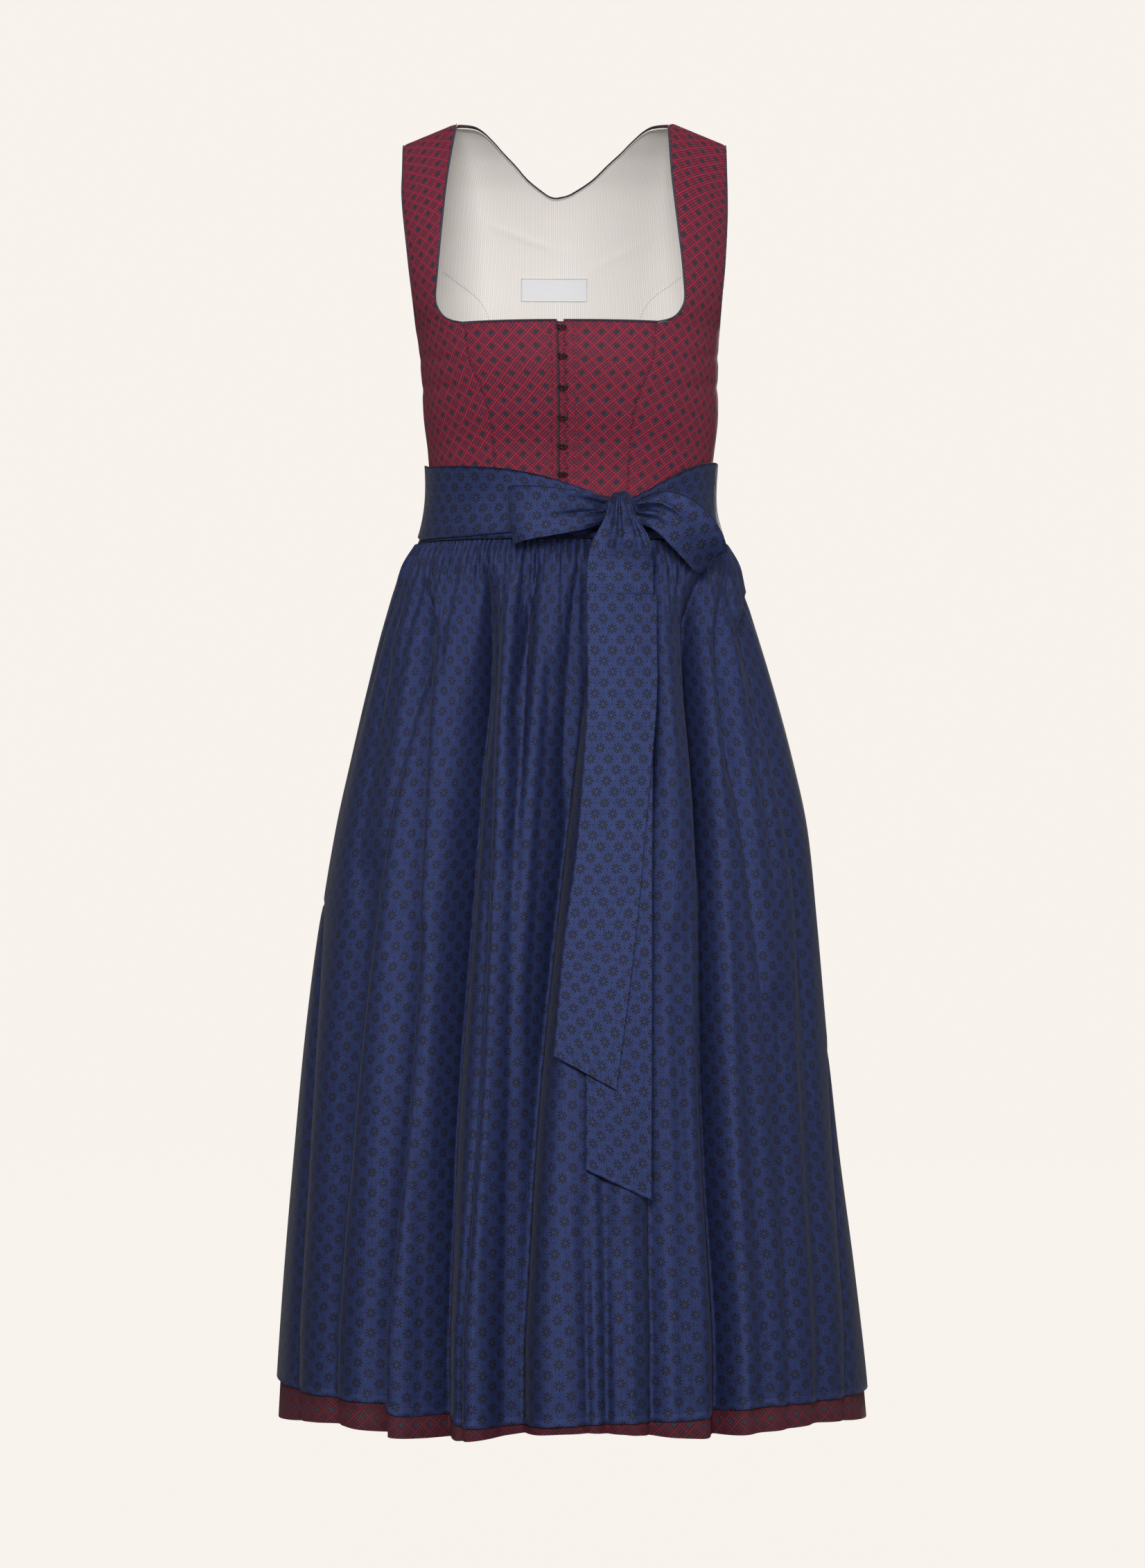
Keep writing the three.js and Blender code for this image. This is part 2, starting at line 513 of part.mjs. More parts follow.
// Underlap behind the opening, raised channels beside it and the hooks that close it.
function addClosure() {
  const rows = heightsFrom(WAIST_SEAM, NECKLINE);
  const strip = (from, to) => (u, height) => [angleAt(centreLine(height) + mix(from, to, u), height), height];
  const under = -CLOTH - SEAM;
  const underlapWall = 1.2;
  const underlap = wallOnForm(strip(UNDERLAP.left, UNDERLAP.right), 3, rows, under - underlapWall, under);
  addPiece('placket_underlap', underlap, 'jacquard');
  for (const channel of CHANNELS) {
    const wall = wallOnForm(strip(channel.from, channel.to), 2, rows, SEAM, SEAM + CHANNEL_RISE);
    addPiece(channel.name, wall, 'jacquard');
  }
  const wire = 0.7;           // radius
  const waistCurve = -280;    // below it the front curves more, so the hooks need more room
  const bend = [[-5.4, 2], [-5.4, -2], [-2, -1.5], [2.2, -1.2], [5.6, 0], [2.2, 1.2], [-2, 1.5]];
  HOOK_HEIGHTS.forEach((height, i) => {
    const clear = height < waistCurve ? 0.95 : 0.75;
    const rise = SEAM + CHANNEL_RISE + clear + wire;
    const centres = bend.map(([across, lift]) => {
      const angle = angleAt(centreLine(height) + across, height);
      return { at: outFrom(angle, height + lift, rise), normal: formNormal(angle, height) };
    });
    const ring = centres.map(({ at, normal }, k) => {
      const next = centres[(k + 1) % centres.length].at;
      const previous = centres[(k + centres.length - 1) % centres.length].at;
      const out = normal.clone().cross(next.clone().sub(previous)).normalize();
      return { at, up: normal, out };
    });
    addPiece(`hook_${i + 1}`, tube(ring, wire, 5, true), 'hook');
  });
}

// How far the main folds sink the cloth below the form at an angle and height.
function foldDepth(angle, height) {
  const grown = smoothStep(APRON_TOP, -520, height);
  const tangent = 0.02;
  const spread = formPoint(angle + tangent, height).distanceTo(formPoint(angle - tangent, height)) / (2 * tangent);
  const hump = (away, fold) => {
    const reach = away < 0 ? fold.left : fold.right;
    return Math.exp(-((away / reach) ** 2));
  };
  let depth = 0;
  for (const fold of FOLDS) {
    const rows = FOLD_HEIGHTS.map((z, i) => ({ z, x: fold.x[i] }));
    const centre = angleAt(between(rows, 'z', 'x', height), height);
    const growth = grown * mix(1, fold.top, smoothStep(-800, -450, height));
    depth += fold.depth * growth * hump((angle - centre) * spread, fold);
  }
  for (const fold of BACK_FOLDS) {
    let turn = angle - fold.angle * DEGREE;
    turn -= 2 * Math.PI * Math.round(turn / (2 * Math.PI));
    const growth = grown * mix(0.45, 1, smoothStep(-450, -900, height));
    depth += fold.depth * growth * hump(turn * spread, fold);
  }
  return depth;
}

// Uneven heights of the small gathers: a repeatable value between 0.6 and 1 for a wave.
const unevenness = (wave) => 0.8 + 0.2 * Math.sin(wave * 2.4 + 1.3 * Math.sin(wave * 0.9));
const gatherFade = (height, top) => smoothStep(-455, top, height) ** 1.5;
const APRON_WAVE = 3.6;
const SKIRT_WAVE = 3.0;

// Level direction straight out of the form, so that walls keep clear of themselves in every fold.
function levelOut(angle, height, distance) {
  const normal = formNormal(angle, height);
  normal.z = 0;
  return formPoint(angle, height).addScaledVector(normal.normalize(), distance);
}

function hemHeight(angle, piece) {
  return between(HEMS, 'angle', piece, angle / DEGREE);
}

// Rows of a skirt or apron wall: each has a height and a number of columns.
function hangingWall({ from, to, rows, hem, offset, cloth }) {
  const lowest = rows[rows.length - 1].z;
  const sheet = (inward) => rows.map(({ z, columns }) => {
    const line = [];
    for (let c = 0; c <= columns; c += 1) {
      const angle = mix(from, to, c / columns);
      const height = z + (hemHeight(angle, hem) - lowest) * smoothStep(-900, lowest, z);
      const away = offset(angle, height, c) - foldDepth(angle, height) - inward;
      line.push(levelOut(angle, height, away));
    }
    return line;
  });
  return wallBetween(sheet(0), sheet(cloth));
}

function addSkirt() {
  const pressedIn = 0.2;      // share of the gathers' fullness that the skirt gives way to
  const underApron = (angle, height) => {
    const room = APRON_WAVE * gatherFade(height, APRON_TOP) * smoothStep(WAIST_SEAM, APRON_TOP, height);
    return -room * pressedIn;
  };
  const seamAngle = 0.15 * DEGREE;
  const plain = Math.round(90 * DEGREE / COLUMN);
  const top = WAIST_SEAM - SEAM;
  const lower = [-450, -520, -640, -840, -1000, SKIRT_HEM];
  const plainRows = [top, -353, APRON_TOP, -392, -415, ...lower].map((z) => ({ z, columns: plain }));
  const gatheredRows = [top, -353, APRON_TOP, -392].map((z) => ({ z, columns: SKIRT_GATHERS * 2 }));
  gatheredRows.push(...[-415, ...lower].map((z) => ({ z, columns: plain })));
  const gathered = (angle, height, c) => {
    const wave = c % 2 === 0 || height < -400 ? 0 : SKIRT_WAVE * unevenness(c);
    return -wave * smoothStep(-430, WAIST_SEAM, height);
  };
  const panels = [
    { name: 'skirt_front_left', from: -90, to: 0, rows: plainRows, offset: underApron },
    { name: 'skirt_front_right', from: 0, to: 90, rows: plainRows, offset: underApron },
    { name: 'skirt_back_right', from: 90, to: 180, rows: gatheredRows, offset: gathered },
    { name: 'skirt_back_left', from: -180, to: -90, rows: gatheredRows, offset: gathered },
  ];
  for (const panel of panels) {
    const wall = hangingWall({
      from: panel.from * DEGREE + seamAngle,
      to: panel.to * DEGREE - seamAngle,
      rows: panel.rows,
      hem: 'skirt',
      offset: panel.offset,
      cloth: SKIRT_CLOTH,
    });
    addPiece(panel.name, wall, 'jacquard');
  }
}

// Gap between skirt and apron, and the apron's outer face above the form.
const APRON_GAP = 1.4;

function addApron() {
  const dense = APRON_GATHERS * 2;
  const plain = Math.round((2 * APRON_REACH) / COLUMN);
  const rows = [
    { z: APRON_TOP - SEAM, columns: dense }, { z: -392, columns: dense }, { z: -415, columns: plain },
    { z: -450, columns: plain }, { z: -520, columns: plain }, { z: -640, columns: plain },
    { z: -840, columns: plain }, { z: -1000, columns: plain }, { z: -1110, columns: plain },
  ];
  const offset = (angle, height, c) => {
    const full = APRON_WAVE * gatherFade(height, APRON_TOP);
    const sunk = height > -410 && c % 2 === 1 ? full * unevenness(c) : 0;
    return APRON_GAP + APRON_CLOTH + full - sunk;
  };
  const wall = hangingWall({
    from: -APRON_REACH, to: APRON_REACH, rows, hem: 'apron', offset, cloth: APRON_CLOTH,
  });
  addPiece('apron', wall, 'apron');
  const band = (u, height) => [mix(-APRON_REACH, APRON_REACH, u), height];
  addPiece('apron_waistband', wallOnForm(band, 32, [APRON_TOP, -356, -340], 0.6, 0.6 + RIBBON), 'apron');
}

// The two ties that go round the waist to the knot. At the back one lies over the other.
function addTies() {
  const edges = (angle) => {
    const front = formPoint(angle, -340);
    if (Math.cos(angle) < 0) return BACK_TIE;
    const share = smoothStep(70 * DEGREE, 90 * DEGREE, Math.abs(angle));
    return {
      top: mix(between(TIE_EDGES, 'x', 'top', front.x), BACK_TIE.top, share),
      bottom: mix(between(TIE_EDGES, 'x', 'bottom', front.x), BACK_TIE.bottom, share),
    };
  };
  const knotAngle = angleAt(KNOT.x, KNOT.z);
  const halfGap = 0.004;      // radians between the two ties behind the knot
  const tie = (from, to, lifted) => {
    const columns = 34;
    const sheet = (distance) => [0, 0.5, 1].map((share) => {
      const line = [];
      for (let c = 0; c <= columns; c += 1) {
        const angle = mix(from, to, c / columns);
        const edge = edges(angle);
        const lift = lifted ? BACK_TIE.lift * smoothStep(BACK_TIE.liftFrom, 160 * DEGREE, Math.abs(angle)) : 0;
        line.push(outFrom(angle, mix(edge.bottom, edge.top, share), distance + lift));
      }
      return line;
    });
    return wallBetween(sheet(TIE_UNDER + RIBBON), sheet(TIE_UNDER));
  };
  const end = Math.PI + BACK_TIE.overlap;
  addPiece('tie_band_left', tie(knotAngle - halfGap, -end, true), 'apron');
  addPiece('tie_band_right', tie(knotAngle + halfGap, end, false), 'apron');
}

function addBow() {
  const knot = new THREE.SphereGeometry(1, 16, 10);
  knot.scale(KNOT.halfWidth, KNOT.halfHeight, KNOT.halfDepth);
  knot.rotateX(90 * DEGREE);
  knot.translate(KNOT.x, KNOT.y, KNOT.z);
  addPiece('bow_knot', knot, 'apron');
  const stations = (rows) => rows.map((s) => ({
    a: new THREE.Vector3(s.x1, s.y, s.z1), b: new THREE.Vector3(s.x2, s.y, s.z2),
  }));
  addPiece('bow_loop_left', ribbonWall(stations(LEFT_LOOP), 3, RIBBON), 'apron');
  addPiece('bow_loop_right', ribbonWall(stations(RIGHT_LOOP), 3, RIBBON), 'apron');
}

const TAIL_LIFT = 1.6;      // the rear tail's face above the apron's ridges

// A tail hangs on the apron's ridges, or on the other tail.
function tailWall(stations, lift) {
  const longest = 32;
  const rows = [stations[0]];
  for (let i = 1; i < stations.length; i += 1) {
    const parts = Math.ceil((stations[i - 1].z1 - stations[i].z1) / longest);
    for (let k = 1; k <= parts; k += 1) {
      const row = {};
      for (const key of ['x1', 'z1', 'x2', 'z2']) row[key] = mix(stations[i - 1][key], stations[i][key], k / parts);
      rows.push(row);
    }
  }
  const onApron = (x, z) => {
    const angle = angleAt(x, z);
    const wave = APRON_GAP + APRON_CLOTH + APRON_WAVE * gatherFade(z, APRON_TOP);
    return levelOut(angle, z, wave + lift);
  };
  const steps = rows.length - 1;
  const columns = 3;
  const sheet = (distance) => {
    const lines = [];
    for (let r = 0; r <= steps; r += 1) {
      const row = rows[r];
      const line = [];
      for (let c = 0; c <= columns; c += 1) {
        const share = c / columns;
        const point = onApron(mix(row.x1, row.x2, share), mix(row.z1, row.z2, share));
        point.y -= distance;
        line.push(point);
      }
      lines.push(line);
    }
    return lines;
  };
  return wallBetween(sheet(RIBBON), sheet(0));
}

function addTails() {
  addPiece('tail_back', tailWall(BACK_TAIL, TAIL_LIFT), 'apron');
  const apart = 0.6;          // space between the two tails
  addPiece('tail_front', tailWall(FRONT_TAIL, TAIL_LIFT + RIBBON + apart), 'apron');
}

addBodice();
addLining();
addPiping();
addClosure();
addSkirt();
addApron();
addTies();
addBow();
addTails();

export default garment;
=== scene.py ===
"""Looks of the dirndl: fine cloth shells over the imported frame, procedural cloth, studio and camera.

Lengths in tables are millimetres in the part's own frame: +Z up, the front faces -Y, origin between the
shoulder seams. Points turn into metres only when a mesh is made.
"""
import math

import bpy
import numpy as np
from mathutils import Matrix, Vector


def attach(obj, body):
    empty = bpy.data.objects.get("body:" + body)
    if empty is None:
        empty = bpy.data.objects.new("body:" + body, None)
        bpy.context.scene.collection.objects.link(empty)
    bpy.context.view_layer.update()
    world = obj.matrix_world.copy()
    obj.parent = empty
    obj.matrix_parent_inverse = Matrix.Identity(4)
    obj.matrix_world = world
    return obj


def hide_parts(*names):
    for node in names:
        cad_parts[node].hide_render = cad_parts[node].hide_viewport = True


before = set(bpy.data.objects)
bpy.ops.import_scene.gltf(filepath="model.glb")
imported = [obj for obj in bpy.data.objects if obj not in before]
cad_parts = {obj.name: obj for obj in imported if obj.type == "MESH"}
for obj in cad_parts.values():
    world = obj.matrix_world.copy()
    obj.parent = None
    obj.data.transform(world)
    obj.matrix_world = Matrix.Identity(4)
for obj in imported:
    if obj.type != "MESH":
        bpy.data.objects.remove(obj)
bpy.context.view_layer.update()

MM = 0.001
DEG = math.pi / 180

# The whole form, a row per height: half width, depth to front and back, sideways shift, superellipse power.
FORM = dict(
    z=[0, -4, -12, -25, -50, -90, -130, -165, -187, -221, -259, -293, -335, -366, -395, -440, -500, -560,
       -620, -700, -800, -900, -1000, -1085, -1140],
    half=[150, 150, 150, 150, 150, 150, 148, 141, 133, 131, 129, 125.5, 124, 130.8, 145, 160.3, 177, 192, 205,
          215.7, 226.2, 235.7, 246.4, 254.4, 258.5],
    front=[-6, 7, 20, 36, 60, 88, 106, 116, 118, 120, 112, 101, 95, 101, 114, 128, 141, 152, 161, 172, 182,
           190, 197, 202, 204],
    back=[7.2, 22, 38, 56, 77, 92, 99, 101, 99, 97, 92, 87, 85, 91, 108, 125, 142, 153, 162, 172, 182,
          190, 197, 202, 204],
    shift=[-7, -7, -7, -7, -7, -6, -5, -4.5, -4, -2.5, -1.5, -1.5, -1.5, -1, -1.5, -2.7, -1.5, -0.5, -0.7,
           -3.2, -5.2, -5.2, -3, -1, 0],
    power=[2.4] * 13 + [2.3, 2.25, 2.2, 2.15] + [2.1] * 8,
)
FRONT_INNER = dict(     # strap edge, neckline corner, then princess seam, from the centre line
    z=[0, -80, -150, -166, -175, -182, -186, -187.5, -218, -242, -260, -275, -305, -335],
    x=[94, 101.5, 108, 108.5, 105, 99, 90, 83, 79, 69, 63, 60.5, 58, 57],
)
FRONT_ARMHOLE = dict(
    z=[0, -22, -50, -90, -130, -150, -165, -175, -183, -190],
    x=[141, 141.5, 142, 140.5, 137.5, 135.5, 134, 133.2, 133, 132.9],
)
BACK_ARMHOLE = dict(
    z=[0, -30, -60, -90, -120, -150, -165, -178, -190],
    x=[141, 140, 137, 134, 131.5, 131, 131.5, 132.5, 132.9],
)
BACK_SEAM = dict(
    z=[-112, -118, -125, -133, -141, -150, -164, -200, -250, -335],
    x=[131.5, 121, 109, 97, 85, 75.5, 69, 60, 52, 47],
)
BACK_SEAM_TOP = -112
BACK_NECK = dict(x=[0, 4, 8, 17.5, 26, 36.5, 41, 50, 58, 75, 142],
                 z=[-56.5, -54.5, -50.5, -40.5, -29.5, -18, -13, -5, -1.5, -0.7, -0.6])
CENTRE_LINE = dict(z=[0, -55, -150, -260, -335], x=[-2, -4.5, -6, -8, -8])
WAIST_SEAM = -335
NECKLINE = -187
ARMHOLE = -190
APRON_TOP = -372
SKIRT_HEM = -1132
APRON_REACH = 108           # degrees to each side
CLOTH = 1.6
SEAM = 0.3
SIDES = ((-1, "left"), (1, "right"))

# Main folds: a row per fold, its distance from x = 0 at four heights, depth, reach left and right, and
# how strong it is near the waist.
FOLD_HEIGHTS = [-450, -650, -850, -1050]
FOLDS = [
    ([-150, -178, -198, -205], 7, 14, 20, 0.5),
    ([-128, -136, -145, -165], 13, 20, 9, 0.8),
    ([-119, -127, -136, -154], -5, 7, 26, 0.4),
    ([-77, -91.5, -105, -115], 22, 20, 14, 0.8),
    ([-61, -66, -80, -97], -7, 8, 30, 0.4),
    ([-39, -50, -55, -60], 5, 9, 9, 1.3),
    ([1, -6.5, -30, -43], 12, 24, 12, 1),
    ([70, 63, 66.5, 66], 6, 9, 15, 1.2),
    ([108, 120.5, 122, 131], 20, 12, 14, 0.9),
    ([132, 142, 152, 162], 8, 12, 14, 0.9),
    ([152, 192, 200, 211], 6, 10, 14, 0.6),
]
# Crisp valleys beside the pleats: x at the four heights, depth, reach left and right, and its share at the
# four heights.
PLEATS = [
    ([-77.5, -91.5, -107, -115], 12, 12, 4, (0.7, 1, 1, 0.8)),
    ([-67.5, -72, -80, -94], 10, 10, 3.5, (0.6, 1, 1, 0.9)),
    ([18, -8, -30, -43], 17, 24, 5, (0.4, 1, 0.9, 0.7)),
    ([-122, -134, -146, -162], 9, 12, 3.5, (0.6, 1, 1, 1)),
    ([-130, -166, -190, -206], 7, 10, 4, (1, 0.8, 0.6, 0.5)),
    ([111, 121, 123, 132], 12, 12, 4, (1, 1, 1, 0.8)),
    ([130, 153, 170, 184], 8, 5, 12, (1, 1, 0.5, 0.3)),
    ([150, 192, 205, 214], 6, 5, 12, (1, 0.8, 0.4, 0.3)),
    ([70, 62, 64, 67], 7, 3.5, 12, (0.2, 1, 1, 1)),
    ([92, 99, 98, 104], 4, 10, 10, (0.8, 0.7, 0.9, 0.6)),
    ([-39, -50, -56, -62], 7, 8, 5, (1, 0.4, 0.2, 0.2)),
    ([6, 10, 14, 12], 3, 8, 5, (0, 0.1, 0.6, 1)),
    ([36, 34, 32, 30], 3, 5, 8, (0, 0.1, 0.5, 1)),
    ([-196, -214, -226, -236], 6, 8, 8, (0.6, 1, 0.8, 0.6)),
    ([186, 212, 224, 236], 6, 8, 8, (0.5, 1, 0.9, 0.7)),
]
# Smaller creases of the apron: x at the top and bottom, height of both ends, depth and reach.
CREASES = [
    (-118, -136, -385, -470, 4, 5), (-96, -112, -382, -450, 4.5, 5), (-76, -80, -400, -520, 5, 6),
    (-57, -66, -382, -470, 4, 4), (-29, -50, -388, -510, 5, 6), (2, -9, -400, -560, 5, 6),
    (72, 70, -385, -560, 4.5, 5), (92, 99, -400, -520, 4, 5), (106, 120, -420, -620, 5, 6),
    (128, 141, -440, -560, 4, 6), (146, 172, -440, -640, 4, 7), (-160, -186, -470, -640, 4, 8),
    (-20, -38, -480, -760, 3, 9), (-176, -196, -640, -900, 3, 10), (30, 26, -640, -1110, 2.4, 7),
    (8, 14, -930, -1120, 2.4, 4), (24, 30, -900, -1120, 2.6, 4), (40, 44, -950, -1120, 2.6, 4),
    (54, 57, -930, -1120, 2.2, 4), (88, 94, -700, -1110, 3, 9), (176, 186, -760, -1100, 3, 9),
    (-128, -134, -700, -1100, 3, 8), (-60, -72, -640, -1000, 2.5, 8),
]
BACK_FOLDS = [     # angle, depth, reach left and right
    (-165, 19, 22, 15), (-141, 15, 14, 20), (-121, 20, 20, 15), (-101, 9, 14, 16), (99, 10, 16, 14),
    (119, 18, 14, 21), (140, 16, 20, 14), (160, 21, 15, 22), (182, 12, 15, 15),
]
HEMS = dict(
    angle=[-180, -90, -55, -38, -33, -25, -20, -5, 5, 25, 35, 55, 90, 180],
    apron=[-1100, -1100, -1104, -1107, -1113, -1114, -1120, -1118, -1116, -1114, -1108, -1108, -1110, -1110],
    skirt=[-1134, -1136, -1127, -1131, -1132, -1133, -1132, -1125, -1124, -1131, -1130, -1127, -1136, -1134],
)


def between(table, key, column, at):
    """Cubic Hermite value of a table's column at an array of key values."""
    keys = np.array(table[key], float)
    values = np.array(table[column], float)
    if keys[0] > keys[-1]:
        keys, values = keys[::-1], values[::-1]
    at = np.clip(np.asarray(at, float), keys[0], keys[-1])
    i = np.clip(np.searchsorted(keys, at, side="right") - 1, 0, len(keys) - 2)
    slopes = np.empty(len(keys))
    slopes[1:-1] = (values[2:] - values[:-2]) / (keys[2:] - keys[:-2])
    slopes[0] = (values[1] - values[0]) / (keys[1] - keys[0])
    slopes[-1] = (values[-1] - values[-2]) / (keys[-1] - keys[-2])
    step = keys[i + 1] - keys[i]
    t = (at - keys[i]) / step
    return ((2 * t**3 - 3 * t**2 + 1) * values[i] + (t**3 - 2 * t**2 + t) * step * slopes[i]
            + (3 * t**2 - 2 * t**3) * values[i + 1] + (t**3 - t**2) * step * slopes[i + 1])


def smooth_step(start, end, at):
    """0 before start, 1 after end and a soft S between them. start may be the greater one."""
    t = np.clip((np.asarray(at, float) - start) / (end - start), 0, 1)
    return t * t * (3 - 2 * t)


def form_row(column, height):
    return between(FORM, "z", column, height)


def form_point(angle, height):
    """Points of the form at angles from centre front (radians) and heights."""
    angle, height = np.broadcast_arrays(np.asarray(angle, float), np.asarray(height, float))
    exponent = 2 / form_row("power", height)
    sine, cosine = np.sin(angle), np.cos(angle)
    x = form_row("half", height) * np.sign(sine) * np.abs(sine) ** exponent
    depth = np.where(cosine > 0, form_row("front", height), form_row("back", height))
    y = -depth * np.sign(cosine) * np.abs(cosine) ** exponent
    drop = np.maximum(0, np.abs(x) - 96) * 0.42 * smooth_step(-120, -20, height)
    return np.stack([x + form_row("shift", height), y, height - drop], -1)


def angle_at(x, height, at_back=False):
    t = np.clip((x - form_row("shift", height)) / form_row("half", height), -1, 1)
    angle = np.sign(t) * np.arcsin(np.abs(t) ** (form_row("power", height) / 2))
    return math.pi - angle if at_back else angle


def unit(v):
    return v / np.maximum(np.linalg.norm(v, axis=-1, keepdims=True), 1e-9)


def form_normal(angle, height):
    across = form_point(angle + 0.01, height) - form_point(angle - 0.01, height)
    up = form_point(angle, height + 0.4) - form_point(angle, height - 0.4)
    return unit(np.cross(across, up))


def out_from(angle, height, distance):
    """Points at a distance from the form, along its normal."""
    return form_point(angle, height) + form_normal(angle, height) * np.asarray(distance)[..., None]


def level_out(angle, height, distance):
    """Points at a level distance from the form, so that rows stay at their height."""
    normal = form_normal(angle, height)
    normal[..., 2] = 0
    return form_point(angle, height) + unit(normal) * np.asarray(distance)[..., None]


def centre_line(height):
    """x of the closure's middle, which leans a little."""
    return between(CENTRE_LINE, "z", "x", height) + form_row("shift", height)


def arc_lengths(points):
    """Distance along a line of points, from its first one."""
    return np.concatenate([[0], np.cumsum(np.linalg.norm(np.diff(points, axis=0), axis=-1))])


def cloth_uv(grid, away=None):
    """Cloth coordinates of a grid in centimetres: arc length along each row from its middle, and down it.

    With away, the direction out of the cloth, they run to the right and down as seen from outside.
    """
    across = np.concatenate([np.zeros((grid.shape[0], 1)),
                             np.cumsum(np.linalg.norm(np.diff(grid, axis=1), axis=-1), axis=1)], axis=1)
    column = (grid.shape[1] - 1) // 2
    across -= across[:, column:column + 1]
    down = arc_lengths(grid[:, column])
    uv = np.stack([across, np.repeat(down[:, None], grid.shape[1], 1)], -1) / 10
    if away is not None:
        row = grid.shape[0] // 2
        step = grid[row, column + 1] - grid[row, column]
        right = np.cross([0, 0, 1], away[row, column])
        uv[..., 0] *= np.sign(np.dot(step, right)) or 1
        uv[..., 1] *= np.sign(grid[0, column, 2] - grid[-1, column, 2]) or 1
    return uv


def make_mesh(name, points, faces, uvs, materials, face_material=None):
    mesh = bpy.data.meshes.new(name)
    mesh.from_pydata((points * MM).tolist(), [], faces)
    layer = mesh.uv_layers.new(name="cloth")
    corners = np.empty(len(mesh.loops), int)
    mesh.loops.foreach_get("vertex_index", corners)
    layer.data.foreach_set("uv", uvs[corners].astype(np.float32).ravel())
    for material in materials:
        mesh.materials.append(material)
    mesh.polygons.foreach_set("use_smooth", np.ones(len(mesh.polygons), bool))
    if face_material is not None:
        mesh.polygons.foreach_set("material_index", np.array(face_material, np.int32))
    mesh.validate()
    mesh.update()
    piece = bpy.data.objects.new(name, mesh)
    bpy.context.scene.collection.objects.link(piece)
    return piece


def turned_inwards(outer, inner):
    """Whether the quads of grid_faces face from the outer grid towards the inner one."""
    r, c = outer.shape[0] // 2, outer.shape[1] // 2
    across = outer[r, c + 1] - outer[r, c]
    down = outer[r + 1, c] - outer[r, c]
    return np.dot(np.cross(across, down), outer[r, c] - inner[r, c]) < 0


def grid_faces(rows, columns, start, flip):
    r, c = np.meshgrid(np.arange(rows - 1), np.arange(columns - 1), indexing="ij")
    a = start + r * columns + c
    quads = np.stack([a, a + 1, a + columns + 1, a + columns], -1).reshape(-1, 4)
    return quads[:, ::-1] if flip else quads


def rim(rows, columns, offset):
    """Quads that join the border of the outer sheet to that of the inner one."""
    top = np.arange(columns)
    bottom = (rows - 1) * columns + top
    left = np.arange(rows) * columns
    right = left + columns - 1
    loop = np.concatenate([top, right[1:], bottom[::-1][1:], left[::-1][1:-1]])
    after = np.roll(loop, -1)
    return np.stack([loop, loop + offset, after + offset, after], -1)


def stitched_faces(upper, lower, flip):
    """Faces between a fine row and a coarse one, whose numbers of gaps differ by a whole factor."""
    factor = (len(upper) - 1) // (len(lower) - 1)
    faces = []
    for c in range(len(lower) - 1):
        fan = list(upper[c * factor:(c + 1) * factor + 1]) + [lower[c + 1], lower[c]]
        faces.append([int(i) for i in (fan[::-1] if flip else fan)])
    return faces


def two_part_shell(name, fine, coarse, outside):
    """A closed wall like shell's, whose upper rows have more columns than its lower ones.

    fine and coarse are (outer, inner, uv) grids. The last fine row and the first coarse row are neighbours.
    """
    numbers, start = [], 0
    for layer in (0, 1):
        for part in (fine, coarse):
            rows, columns = part[layer].shape[:2]
            numbers.append(start + np.arange(rows * columns).reshape(rows, columns))
            start += rows * columns
    points = np.concatenate([part[layer].reshape(-1, 3) for layer in (0, 1) for part in (fine, coarse)])
    uvs = np.concatenate([part[2].reshape(-1, 2) for _ in (0, 1) for part in (fine, coarse)])
    turned = turned_inwards(coarse[0], coarse[1])
    faces = []
    for layer, flip in ((0, turned), (1, not turned)):
        top, low = numbers[2 * layer], numbers[2 * layer + 1]
        faces += grid_faces(*top.shape, int(top[0, 0]), flip).tolist()
        faces += grid_faces(*low.shape, int(low[0, 0]), flip).tolist()
        faces += stitched_faces(top[-1], low[0], flip)
    borders = []
    for layer in (0, 1):
        top, low = numbers[2 * layer], numbers[2 * layer + 1]
        right = np.concatenate([top[:, -1], low[:, -1]])
        left = np.concatenate([top[:, 0], low[:, 0]])
        borders.append(np.concatenate([top[0], right[1:], low[-1][::-1][1:], left[::-1][1:-1]]))
    front, back = borders
    edge = np.stack([front, back, np.roll(back, -1), np.roll(front, -1)], -1)
    faces += (edge if turned else edge[:, ::-1]).tolist()
    return make_mesh(name, points, faces, uvs, [outside])


def shell(name, outer, inner, uv, outside, inside=None):
    """A closed cloth wall between two grids of points. Its inner face may have a finish of its own."""
    rows, columns = outer.shape[:2]
    count = rows * columns
    points = np.concatenate([outer.reshape(-1, 3), inner.reshape(-1, 3)])
    flip = turned_inwards(outer, inner)
    front = grid_faces(rows, columns, 0, flip)
    back = grid_faces(rows, columns, count, not flip)
    edge = rim(rows, columns, count)
    edge = edge if flip else edge[:, ::-1]
    faces = np.concatenate([front, back, edge]).tolist()
    uvs = np.concatenate([uv.reshape(-1, 2)] * 2)
    kinds = [0] * len(front) + [1 if inside else 0] * len(back) + [0] * len(edge)
    return make_mesh(name, points, faces, uvs, [outside] + ([inside] if inside else []), kinds)


def placed(piece, nodes):
    """The piece rides on the part's one body and stands for its nodes."""
    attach(piece, "root")
    if nodes:
        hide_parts(*nodes)
    return piece


